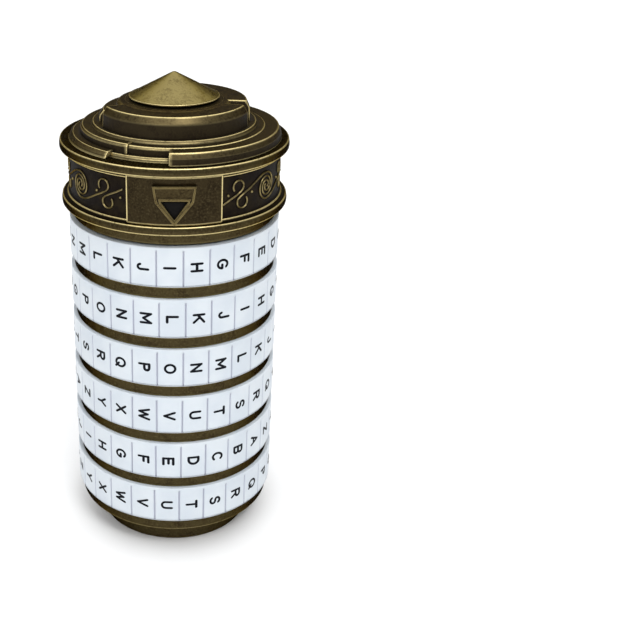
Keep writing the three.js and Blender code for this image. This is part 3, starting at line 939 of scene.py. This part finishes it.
@dataclass
class CombinationRings:
    """Six equal rings: a brass tumbler, a white letter ring pressed on it, and its letters."""

    finishes: Finishes
    flange: float = 2.05
    sag: float = 0.26
    white_bore: float = 17.91
    chamfer: float = 0.12
    points_per_cell: int = 24
    groove_depth: float = 0.3
    groove_top: float = 0.5
    groove_rise: float = 0.35
    white_drop: float = 0.15
    hub: float = 17.61
    chamber: float = 16.51
    ledge_bore: float = 14.51
    ledge_height: float = 6.5
    slot_width: float = 4.8
    cap_height: float = 2.45
    stroke: float = 0.265
    ink_proud: float = 0.045
    # letter whose cell is at the front, and how far the ring's cells stand off the front line
    fronts: tuple[tuple[str, float], ...] = (
        ("I", -2.3), ("L", -1.0), ("O", -2.2), ("V", -2.6), ("E", -3.3), ("U", -4.2)
    )

    def build(self) -> None:
        """Builds one ring and its letters, then places six copies."""
        base = heights("tumbler_ring_6")[0]
        tumbler = self._tumbler(base)
        white = self._white()
        letters = self._letters()
        for number in range(1, RING_COUNT + 1):
            lift = heights(f"tumbler_ring_{number}")[0] - base
            front, offset = self.fronts[number - 1]
            body = f"ring_{number}"
            turn = offset + ALPHABET.index(front) * CELL
            dress(
                place_copy(tumbler, f"tumbler_{number}_turned", lift), self.finishes.plated,
                Slot.ANTIQUE_BRASS, body, f"tumbler_ring_{number}",
            )
            dress(
                place_copy(white, f"white_ring_{number}", lift, offset), self.finishes.white,
                Slot.WHITE_PLASTIC, body, f"letter_ring_{number}",
            )
            dress(
                place_copy(letters, f"letters_{number}", lift, turn), self.finishes.ink,
                Slot.BLACK_ENAMEL, body,
            )
            paint_node(f"detent_ball_{number}", self.finishes.steel)
            paint_node(f"detent_leaf_{number}", self.finishes.steel)
        for source in (tumbler, white, letters):
            bpy.data.objects.remove(source)

    def _tumbler(self, base: float) -> Object:
        """The brass part: a flange, a hub and a chamber, with a notch through its ledge.

        Args:
            base: Height of its underside, in mm.

        Returns:
            The tumbler of ring 6.
        """
        radius = outer_radius("tumbler_ring_6")
        top = heights("tumbler_ring_6")[1]
        ledge = base + self.ledge_height
        ring = lathe("tumbler", fillet([
            (self.chamber, base, 0.15), (radius, base - self.sag, 0.12), (radius, base + self.flange, 0.2),
            (self.hub, base + self.flange, 0), (self.hub, top, 0.15), (self.ledge_bore, top, 0.15),
            (self.ledge_bore, ledge, 0), (self.chamber, ledge, 0),
        ], 3))
        half = self.slot_width / 2
        notch = block("notch", (-half, -self.chamber, ledge - 1), (half, 0, top + 1))
        cut_away(ring, notch)
        return smooth(ring)

    def _white(self) -> Object:
        """The white part, with a V groove between each two letters.

        Returns:
            The white ring of ring 6.
        """
        bottom, top = heights("letter_ring_6")
        bottom -= self.white_drop
        radius = outer_radius("letter_ring_6")
        count = LETTER_COUNT * self.points_per_cell
        rows = fillet([
            (self.white_bore, bottom, 0), (radius, bottom, self.chamfer),
            (radius, top, self.chamfer), (self.white_bore, top, 0),
        ], 3)
        groove_end = top - self.groove_top
        marks = [bottom + self.chamfer + 0.01, groove_end - self.groove_rise, groove_end]
        split = next(i for i, (_, z) in enumerate(rows) if z > (bottom + top) / 2)
        rows[split:split] = [(radius, z) for z in marks]
        deselect_all()
        inner, lowest = rows[0]
        bpy.ops.mesh.primitive_circle_add(vertices=count, radius=inner * MM, location=(0, 0, lowest * MM))
        ring = start_piece("white")
        settle()
        edit_all()
        for (r0, z0), (r1, z1) in zip(rows, rows[1:] + rows[:1]):
            bpy.ops.mesh.extrude_edges_move(TRANSFORM_OT_translate={"value": (0, 0, (z1 - z0) * MM)})
            bpy.ops.transform.resize(value=(r1 / r0, r1 / r0, 1), center_override=(0, 0, z1 * MM))
        leave_edit_mode()
        clean(ring)
        half_point = 180 / count

        def in_groove(p: Vector) -> bool:
            """Whether a point lies on a line between two cells, below the plain top edge."""
            off = math.remainder(azimuth_of(p) - CELL / 2, CELL)
            return (
                abs(off) < half_point
                and math.hypot(p.x, p.y) > radius - 0.5 * self.chamfer
                and p.z < groove_end - 0.1
            )

        pick(ring, in_groove)
        shrink = (radius - self.groove_depth) / radius
        bpy.ops.transform.resize(value=(shrink, shrink, 1), center_override=(0, 0, 0))
        leave_edit_mode()
        return smooth(ring, 25)

    def _letters(self) -> Object:
        """All 26 letters on their cells, A at the front, the alphabet running down to the right.

        Returns:
            The letters of ring 6 as one piece.
        """
        middle = sum(heights("letter_ring_6")) / 2 - 0.1
        radius = outer_radius("letter_ring_6")
        tall = self.cap_height - 2 * self.stroke
        arc_per_cell = math.radians(CELL) * radius
        letters = ribbon_object("letters", self.stroke)
        for index, letter in enumerate(ALPHABET):
            width, strokes = LETTER_STROKES[letter]
            for points in strokes:
                # the letter's top points right and it reads down the ring
                flat = [
                    ((y - 0.5) * tall - index * arc_per_cell, middle - (x - 0.5) * width * tall)
                    for x, y in points
                ]
                add_round_stroke(letters, flat, self.stroke)
        activate(letters)
        bpy.ops.object.convert(target="MESH")
        letters = start_piece("letters")
        edit_all()
        bpy.ops.transform.resize(value=(1, self.ink_proud / self.stroke, 1), center_override=(0, 0, 0))
        leave_edit_mode()
        roll_up(letters, radius)
        clean(letters)
        return smooth(letters, 60)


# ---- Container: tube, teeth, base -----------------------------------------------------------------


@dataclass
class ContainerTube:
    """The tube that slides out: heart windows, a row of six teeth and a floor."""

    finishes: Finishes
    radius: float = 12.86
    wall: float = 1.0
    heart_width: float = 25.0
    small_heart_width: float = 6.4
    heart_height: float = 40.4
    tooth_width: float = 4.0
    tooth_tip: float = 16.11
    tooth_seat: float = 0.35
    tang: float = 2.0
    tang_reach: float = 0.5
    tooth_edge: float = 0.4
    floor_gap: float = 0.02

    def build(self) -> None:
        """Builds and dresses the tube, its floor and the teeth."""
        self._tube()
        self._floor()
        self._teeth()

    def _heart(self, width: float, side: int, count: int) -> Object:
        """A heart-shaped cutter through one side, its tip towards the front.

        Args:
            width: Across the lobes, along the tube, in mm.
            side: 1 for +X, -1 for -X.
            count: Points round the outline, few enough that none merge at the tips.

        Returns:
            The cutter.
        """
        unit = width / 32
        deselect_all()
        bpy.ops.mesh.primitive_circle_add(vertices=count, radius=MM, fill_type="NGON")
        heart = start_piece("heart_cutter")
        for i, vertex in enumerate(heart.data.vertices):
            t = i / count * math.tau
            across = 16 * math.sin(t) ** 3
            along = 13 * math.cos(t) - 5 * math.cos(2 * t) - 2 * math.cos(3 * t) - math.cos(4 * t)
            vertex.co = Vector((0, (along + 2.5) * unit, self.heart_height + across * unit)) * MM
        edit_all()
        bpy.ops.transform.translate(value=(side * 2 * MM, 0, 0))
        bpy.ops.mesh.extrude_region_move(
            TRANSFORM_OT_translate={"value": (side * (self.radius + 1) * MM, 0, 0)}
        )
        leave_edit_mode()
        clean(heart)
        return heart

    def _tube(self) -> None:
        """The drawn tube with both windows cut."""
        bottom, top = heights("container_tube")
        inner = self.radius - self.wall
        tube = lathe("container_tube_drawn", fillet([
            (inner, bottom, 0.2), (self.radius, bottom, 0.35),
            (self.radius, top, 0.1), (inner, top, 0.1),
        ]), steps=208)
        hearts = [self._heart(self.heart_width, 1, 120), self._heart(self.small_heart_width, -1, 60)]
        # marked before the windows are cut, because their edges share long faces with the tube's ends
        mark_rubbed(tube)
        cut_away(tube, join("heart_cutters", hearts))
        clean(tube, 2e-6)
        smooth(tube, 40)
        dress(tube, self.finishes.tube, Slot.ANTIQUE_BRASS, Body.CONTAINER.value, "container_tube")

    def _floor(self) -> None:
        """The disc that closes the tube."""
        bottom, top = heights("container_base")
        reach = self.radius - self.wall - self.floor_gap
        disc = lathe("container_floor_disc", fillet([
            (0, bottom, 0), (reach, bottom, 0.2), (reach, top, 0.15), (0, top, 0),
        ]), steps=120)
        smooth(disc)
        dress(disc, self.finishes.tube, Slot.ANTIQUE_BRASS, Body.CONTAINER.value, "container_base")

    def _teeth(self) -> None:
        """One block with a riveted tang, copied to each tooth's height."""
        bottom, top = heights("lock_tooth_6")
        half = self.tooth_width / 2
        seat = self.radius - self.tooth_seat
        tooth = block("tooth", (-half, -self.tooth_tip, bottom), (half, -seat, top))
        round_edges(tooth, self.tooth_edge, 3)
        middle, reach = (bottom + top) / 2, self.tang / 2
        tang = block(
            "tang", (-reach, -seat - self.tang_reach, middle - reach),
            (reach, -(self.radius - self.wall - self.tang_reach), middle + reach),
        )
        round_edges(tang, 0.2, 2)
        weld_on(tooth, tang)
        smooth(tooth, 40)
        for number in range(1, RING_COUNT + 1):
            lift = heights(f"lock_tooth_{number}")[0] - bottom
            dress(
                place_copy(tooth, f"tooth_{number}_block", lift), self.finishes.tube,
                Slot.ANTIQUE_BRASS, Body.CONTAINER.value, f"lock_tooth_{number}",
            )
        bpy.data.objects.remove(tooth)


# ---- Cap: drum, scroll band, plate and pointer -------------------------------------------------------


@dataclass
class CapDrum:
    """The cap's casting: two rims, a blackened band with raised scrolls, plate and pointer."""

    finishes: Finishes
    band: float = 20.01
    band_bottom: float = 71.05
    band_top: float = 80.15
    low_rim: float = 21.66
    moulding: float = 20.7
    moulding_height: float = 0.8
    bead: float = 20.6
    bead_height: float = 0.6
    tube_seat: float = 12.95
    inside: float = 18.4
    ceiling: float = 80.25
    scroll_pitch: float = 41.17
    scroll_first: float = 56.5
    scroll_count: int = 7
    line: float = 0.18
    spiral: float = 2.55
    spiral_eye: float = 0.45
    spiral_turns: float = 1.35
    hook: float = 1.15
    plate_half_arc: float = 24.0
    pointer_border: float = 0.45
    pointer_dish: float = 0.2
    pointer_edge: float = 0.07
    fill_margin: float = 0.1
    fill_depth: float = 0.28
    seat_overlap: float = 0.25
    pointer_taper: float = 0.88
    pointer_half: float = 3.87
    pointer_top: float = 1.15
    pointer_shoulder: float = 4.1
    pointer_tip: float = 8.5
    window_half: float = 2.45
    window_top: float = 3.9
    window_shoulder: float = 4.3
    window_tip: float = 7.4

    def build(self) -> None:
        """Builds and dresses the drum, its relief, the plate and the pointer."""
        self._drum()
        self._plate()
        self._pointer()

    def _drum(self) -> None:
        """The turned drum, its band blackened, with the scroll relief on it."""
        bottom, top = heights("cap_drum")
        rim = outer_radius("cap_drum")
        drum = lathe("cap_drum_cast", fillet([
            (self.tube_seat, bottom, 0), (self.low_rim - 0.1, bottom, 0.4),
            (self.low_rim, self.band_bottom - 0.9, 1.2), (self.low_rim - 0.15, self.band_bottom, 0.25),
            (self.bead, self.band_bottom, 0), (self.bead, self.band_bottom + self.bead_height, 0.25),
            (self.band, self.band_bottom + self.bead_height, 0.1),
            (self.band, self.band_top - self.moulding_height, 0.1),
            (self.moulding, self.band_top - self.moulding_height, 0.3), (self.moulding, self.band_top, 0),
            (rim - 0.05, self.band_top, 0.4), (rim, top - 0.95, 1.2), (rim - 0.15, top, 0.25),
            (STUD_HOLE, top, 0), (STUD_HOLE, self.ceiling, 0), (self.inside, self.ceiling, 0.5),
            (self.inside, self.band_bottom, 0.3), (self.tube_seat, self.band_bottom, 0),
        ], 5), steps=208)
        smooth(drum)
        drum.data.materials.append(self.finishes.rim)
        drum.data.materials.append(self.finishes.band)
        lowest = self.band_bottom + self.bead_height - 0.2
        for face in drum.data.polygons:
            place = face.center / MM
            reach = math.hypot(place.x, place.y)
            on_band = self.band - 0.2 < reach < self.band + 0.3
            if on_band and lowest < place.z < self.band_top - 0.5:
                face.material_index = 1
        dress(drum, self.finishes.rim, Slot.ANTIQUE_BRASS, Body.CONTAINER.value, "cap_drum")
        relief = self._scrolls()
        dress(relief, self.finishes.relief, Slot.ANTIQUE_BRASS, Body.CONTAINER.value)

    def _arm(self) -> list[Point]:
        """One arm in mm round a spiral's eye: out of the eye, down, up to the right and over in a hook."""
        turns = math.tau * self.spiral_turns
        steps = 34
        points = []
        for i in range(steps + 1):
            share = i / steps
            reach = self.spiral_eye + (self.spiral - self.spiral_eye) * share
            angle = -math.pi / 2 - turns * (1 - share)
            points.append((reach * math.cos(angle), reach * math.sin(angle)))
        half = self.scroll_pitch / 2 * math.radians(1) * self.band
        hook = self.hook
        centre = (half - 0.45, 1.5)
        points += [
            (1.25, -2.42), (2.4, -2.0), (3.6, -1.4), (4.8, -0.75), (half - 1.0, -0.1),
            (half, 0.42), (half + 0.5, 0.85),
        ]
        for i in range(15):
            angle = math.radians(-18 + 16.5 * i)
            points.append((centre[0] + hook * math.cos(angle), centre[1] + hook * math.sin(angle)))
        return points

    def _scrolls(self) -> Object:
        """The raised lines: double spirals joined by hooked diagonals, and small dots.

        Returns:
            The relief as one mesh.
        """
        middle = (self.band_bottom + self.bead_height + self.band_top - self.moulding_height) / 2
        lines: list[list[Point]] = []
        dots: list[Point] = []
        half = self.scroll_pitch / 2 * math.radians(1) * self.band
        arm = self._arm()
        # the first and the last one lie half under the plate
        for i in range(-1, self.scroll_count + 1):
            centre = (self.scroll_first + i * self.scroll_pitch) * math.radians(1) * self.band
            for sign in (1, -1):
                lines.append([(centre + sign * u, sign * v) for u, v in arm])
                dots.append((centre + sign * (half - 2.7), sign * 0.15))
        lowest = math.radians(self.plate_half_arc - 0.5) * self.band
        highest = math.tau * self.band - lowest
        relief = ribbon_object("scroll_relief", self.line)
        for line in lines:
            kept = [(u, middle + v) for u, v in line if lowest < u < highest]
            if len(kept) > 1:
                add_round_stroke(relief, kept, self.line, 1.0)
        activate(relief)
        bpy.ops.object.convert(target="MESH")
        roll_up(start_piece("scroll_relief"), self.band + 0.1)
        relief = bpy.context.object
        spots = []
        for u, v in dots:
            if not lowest < u < highest:
                continue
            deselect_all()
            bpy.ops.mesh.primitive_ico_sphere_add(
                subdivisions=2, radius=0.27 * MM,
                location=at(self.band + 0.08, math.degrees(u / self.band), middle + v),
            )
            spots.append(bpy.context.object)
            settle()
        relief = join("scroll_relief", [relief, *spots])
        clean(relief)
        return smooth(relief, 60)

    def _plate(self) -> None:
        """The curved plate on the front of the band."""
        bottom, top = heights("index_plate")
        outer = -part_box("index_plate")[0].y / MM
        plate = lathe("index_plate_cast", fillet([
            (self.band + 0.05, bottom - self.seat_overlap, 0), (outer, bottom - self.seat_overlap, 0.25),
            (outer, top + self.seat_overlap, 0.25), (self.moulding + 0.02, top + self.seat_overlap, 0),
            (self.moulding + 0.02, top - 0.7, 0),
            (self.band + 0.05, top - 0.7, 0),
        ], 2), steps=48, start=-self.plate_half_arc, sweep=2 * self.plate_half_arc)
        round_edges(plate, 0.25, 2, 60)
        smooth(plate)
        dress(plate, self.finishes.plate, Slot.ANTIQUE_BRASS, Body.CONTAINER.value, "index_plate")

    def _shield(
        self, name: str, half: float, top: float, shoulder: float, tip: float, depth: Point
    ) -> Object:
        """A five-cornered shield pushed forwards between two distances from the axis.

        Args:
            name: The object's name.
            half: Half its width.
            top: Height of its top edge.
            shoulder: Height where its sides end.
            tip: Height of its tip.
            depth: Nearest and farthest distance from the axis.

        Returns:
            The solid.
        """
        near, far = depth
        solid = block(name, (-half, -far, shoulder), (half, -near, top))
        pick(solid, lambda p: p.z < shoulder + 0.01)
        bpy.ops.transform.resize(value=(self.pointer_taper, 1, 1), center_override=(0, 0, 0))
        bpy.ops.mesh.select_mode(type="FACE")
        bpy.ops.mesh.extrude_region_move(TRANSFORM_OT_translate={"value": (0, 0, (tip - shoulder) * MM)})
        bpy.ops.transform.resize(value=(0.001, 1, 1), center_override=(0, 0, 0))
        leave_edit_mode()
        clean(solid, 0.02 * MM)
        return solid

    def _inset(self, shield: Sequence[float], inset: float) -> tuple[float, float, float, float]:
        """The same shield, smaller by an even border.

        Args:
            shield: Half its width, and the heights of its top, shoulders and tip.
            inset: The border's width, or less than nothing for a larger shield.

        Returns:
            The four numbers of the smaller shield.
        """
        half, top, shoulder, tip = shield
        rise = (shoulder - tip) / (half * self.pointer_taper)
        low = tip + inset * math.hypot(1, rise)
        return half - inset, top - inset, low + rise * (half - inset) * self.pointer_taper, low

    def _pointer(self) -> None:
        """The raised shield with its window, and the black fill behind it."""
        top = heights("index_plate")[1]
        near = -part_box("index_plate")[0].y / MM - self.seat_overlap
        far = -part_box("pointer_frame")[0].y / MM
        outline, opening = (
            (half, *(top - drop for drop in drops))
            for half, *drops in (
                (self.pointer_half, self.pointer_top, self.pointer_shoulder, self.pointer_tip),
                (self.window_half, self.window_top, self.window_shoulder, self.window_tip),
            )
        )
        through = (near - 1, far + 1)
        shield = self._shield("pointer_shield", *outline, (near, far - self.pointer_dish))
        border = self._shield("border", *outline, (near + 0.05, far))
        inside = self._inset(outline, self.pointer_border)
        cut_away(border, self._shield("border_cutter", *inside, through))
        # the lip stands a little lower than the border
        around = self._inset(opening, -self.pointer_border)
        weld_on(shield, border, self._shield("lip", *around, (near + 0.05, far - 0.04)))
        cut_away(shield, self._shield("window", *opening, through))
        clean(shield, 0.02 * MM)
        round_edges(shield, self.pointer_edge, 2, 40)
        smooth(shield, 40)
        shield.data.materials.clear()
        shield.data.materials.append(self.finishes.relief)
        shield.data.materials.append(self.finishes.dish)
        for face in shield.data.polygons:
            depth = -face.center.y / MM
            dished = face.normal.y < -0.9 and abs(depth - far + self.pointer_dish) < 0.02
            face.material_index = int(dished)
        dress(shield, self.finishes.relief, Slot.BRIGHT_BRASS, Body.CONTAINER.value, "pointer_frame")
        half, upper, shoulder, tip = opening
        fill = self._shield(
            "pointer_black_fill", half + self.fill_margin, upper + self.fill_margin,
            shoulder, tip - self.fill_margin, (near, near + self.fill_depth),
        )
        round_edges(fill, 0.05, 1, 40)
        smooth(fill)
        dress(fill, self.finishes.enamel, Slot.BLACK_ENAMEL, Body.CONTAINER.value, "pointer_inlay")


# ---- Crown and finial -------------------------------------------------------------------------------


@dataclass(frozen=True)
class Step:
    """One step of the crown: an upright wall and a sloping edge above it."""

    start: float
    end: float
    foot: float
    wall: float
    lip: float
    shoulder: float
    top: float


@dataclass
class Crown:
    """The stepped casting on the cap, and the turned cone over it."""

    finishes: Finishes
    inner: float = 6.8
    steps: tuple[Step, ...] = (
        # whole rings first, then the disc under the cone
        Step(0, 360, 18.6, 18.5, 18.2, 0.5, 0.8),
        Step(0, 360, 17.4, 17.25, 17.0, 1.95, 2.3),
        Step(0, 360, 15.9, 15.7, 15.3, 2.6, 3.05),
        Step(0, 360, 10.9, 10.8, 9.2, 6.8, 6.97),
        # broken steps, lowest first
        Step(-133, -37.5, 20.0, 19.7, 19.1, 0.6, 1.1),
        Step(-133, -28, 17.8, 17.65, 17.3, 2.2, 2.55),
        Step(-2.8, 213, 20.3, 20.1, 19.65, 1.2, 2.2),
        Step(-66, 70, 14.6, 14.35, 13.6, 5.6, 6.85),
        Step(82, 200, 14.3, 14.1, 13.5, 5.6, 6.9),
        Step(200, 280, 14.3, 14.1, 13.3, 4.3, 5.2),
    )
    cone_radius: float = 8.5
    cone_lip: float = 0.3
    cone_hole: float = 1.9
    neck: float = 7.0

    def build(self) -> None:
        """Builds and dresses the crown and the cone."""
        self._crown()
        self._cone()
        paint_node("finial_stud", self.finishes.steel)
        paint_node("finial_nut", self.finishes.plated)

    def _crown(self) -> None:
        """Each step is turned, its ends are rounded, and all are joined into one casting."""
        high = heights("crown")[1]
        seat = heights("cap_drum")[1]
        parts = []
        for index, step in enumerate(self.steps):
            whole = step.end - step.start >= 360
            inner = STUD_HOLE if whole else self.inner
            bottom = seat + 0.02 if step.foot > 15 else seat + 0.3
            profile = fillet([
                (inner, bottom, 0), (step.foot, bottom, 0), (step.wall, seat + step.shoulder, 1.0),
                (step.lip, seat + step.top, 0.24), (inner, seat + step.top, 0),
            ], 3)
            part = lathe(
                f"crown_step_{index}", profile, steps=max(12, round((step.end - step.start) / 2)),
                start=step.start, sweep=step.end - step.start,
            )
            for end in () if whole else (step.start, step.end):
                pick(part, lambda p, end=end: abs(math.remainder(azimuth_of(p) - end, 360)) < 1e-3)
                bpy.ops.mesh.bevel(offset=0.2 * MM, segments=2, affect="EDGES", clamp_overlap=False)
                leave_edit_mode()
            parts.append(mark_rubbed(part))
        neck = lathe("crown_neck", fillet([
            (STUD_HOLE, seat + 0.3, 0), (self.neck, seat + 0.3, 0),
            (self.neck, high, 0.1), (STUD_HOLE, high, 0),
        ]), steps=120)
        crown = join("crown_cast", [*parts, mark_rubbed(neck)])
        smooth(crown)
        dress(crown, self.finishes.crown, Slot.DARK_BRASS, Body.CONTAINER.value, "crown")

    def _cone(self) -> None:
        """The pointed cone with a thin upright lip."""
        bottom, top = heights("finial_cone")
        radius, lip, hole_end = self.cone_radius, bottom + self.cone_lip, bottom + self.cone_hole
        cone = lathe("finial_cone_turned", fillet([
            (0, top - 0.02, 0), (0.35, top - 0.1, 0.2), (radius - 0.35, lip, 0.15), (radius, lip - 0.05, 0.1),
            (radius, bottom, 0.1), (radius - 0.6, bottom, 0.1), (STUD_HOLE, bottom, 0),
            (STUD_HOLE, hole_end, 0), (0, hole_end, 0),
        ]))
        smooth(cone)
        dress(cone, self.finishes.bright, Slot.BRIGHT_BRASS, Body.CONTAINER.value, "finial_cone")


# ---- Studio -----------------------------------------------------------------------------------------


@dataclass
class Studio:
    """White table, soft overhead light and the camera."""

    camera_distance: float = 192.5
    camera_height: float = 136.7
    tilt: float = 23.2
    lens: float = 58.94
    shift: Point = (0.2276, -0.081)
    floor_size: float = 6000.0
    sky: float = 0.37
    # name, place, aim, width, depth and watts
    softboxes: tuple[tuple[str, Corner, Corner, float, float, float], ...] = (
        ("overhead_softbox", (0.0, 500.0, 1500.0), (0.0, 500.0, 0.0), 3000.0, 3000.0, 34.0),
        ("key_softbox", (290.0, -800.0, 1080.0), (0.0, 0.0, 50.0), 460.0, 360.0, 6.5),
        ("side_fill", (-520.0, -1100.0, 900.0), (0.0, 0.0, 30.0), 800.0, 600.0, 5.0),
    )

    def build(self) -> None:
        """Sets the floor, the lights, the sky and the camera."""
        self._floor()
        for softbox in self.softboxes:
            self._light(*softbox)
        self._sky()
        self._camera()

    def _floor(self) -> None:
        """A large paper sheet under the object."""
        deselect_all()
        bpy.ops.mesh.primitive_plane_add(size=self.floor_size * MM, location=(0, 0, 0))
        floor = start_piece("paper_floor")
        floor.data.materials.append(PaperFloor().material())

    def _light(
        self, name: str, place: Corner, target: Corner, width: float, depth: float, watts: float
    ) -> None:
        """An area light that faces a point.

        Args:
            name: The light's name.
            place: Where it hangs, in mm.
            target: What it faces, in mm.
            width: Its width in mm.
            depth: Its other side in mm.
            watts: Its power.
        """
        deselect_all()
        bpy.ops.object.light_add(type="AREA", location=Vector(place) * MM)
        lamp = bpy.context.object
        lamp.name = name
        lamp.data.shape = "RECTANGLE"
        lamp.data.size = width * MM
        lamp.data.size_y = depth * MM
        lamp.data.energy = watts
        aim = Vector(target) - Vector(place)
        lamp.rotation_euler = aim.to_track_quat("-Z", "Y").to_euler()

    def _sky(self) -> None:
        """An even pale surround."""
        world = bpy.data.worlds.new("pale_surround")
        world.use_nodes = True
        background = world.node_tree.nodes["Background"]
        background.inputs["Color"].default_value = (0.97, 0.985, 1.0, 1.0)
        background.inputs["Strength"].default_value = self.sky
        bpy.context.scene.world = world
        bpy.context.scene.view_settings.view_transform = "Standard"

    def _camera(self) -> None:
        """A camera a hand's length away, a little above the object."""
        deselect_all()
        bpy.ops.object.camera_add(
            location=(0, -self.camera_distance * MM, self.camera_height * MM),
            rotation=(math.radians(90 - self.tilt), 0, 0),
        )
        camera = bpy.context.object
        camera.name = "studio_camera"
        camera.data.sensor_width = 36.0
        camera.data.lens = self.lens
        camera.data.shift_x, camera.data.shift_y = self.shift
        camera.data.clip_start = 0.005
        bpy.context.scene.camera = camera


def main() -> None:
    """Builds the sub-assemblies in order, then the studio."""
    logging.basicConfig(level=logging.INFO, format="%(message)s")
    finishes = Finishes()
    FrameWork(finishes).build()
    CombinationRings(finishes).build()
    ContainerTube(finishes).build()
    CapDrum(finishes).build()
    Crown(finishes).build()
    Studio().build()
    deselect_all()


if __name__ == "__main__":
    main()
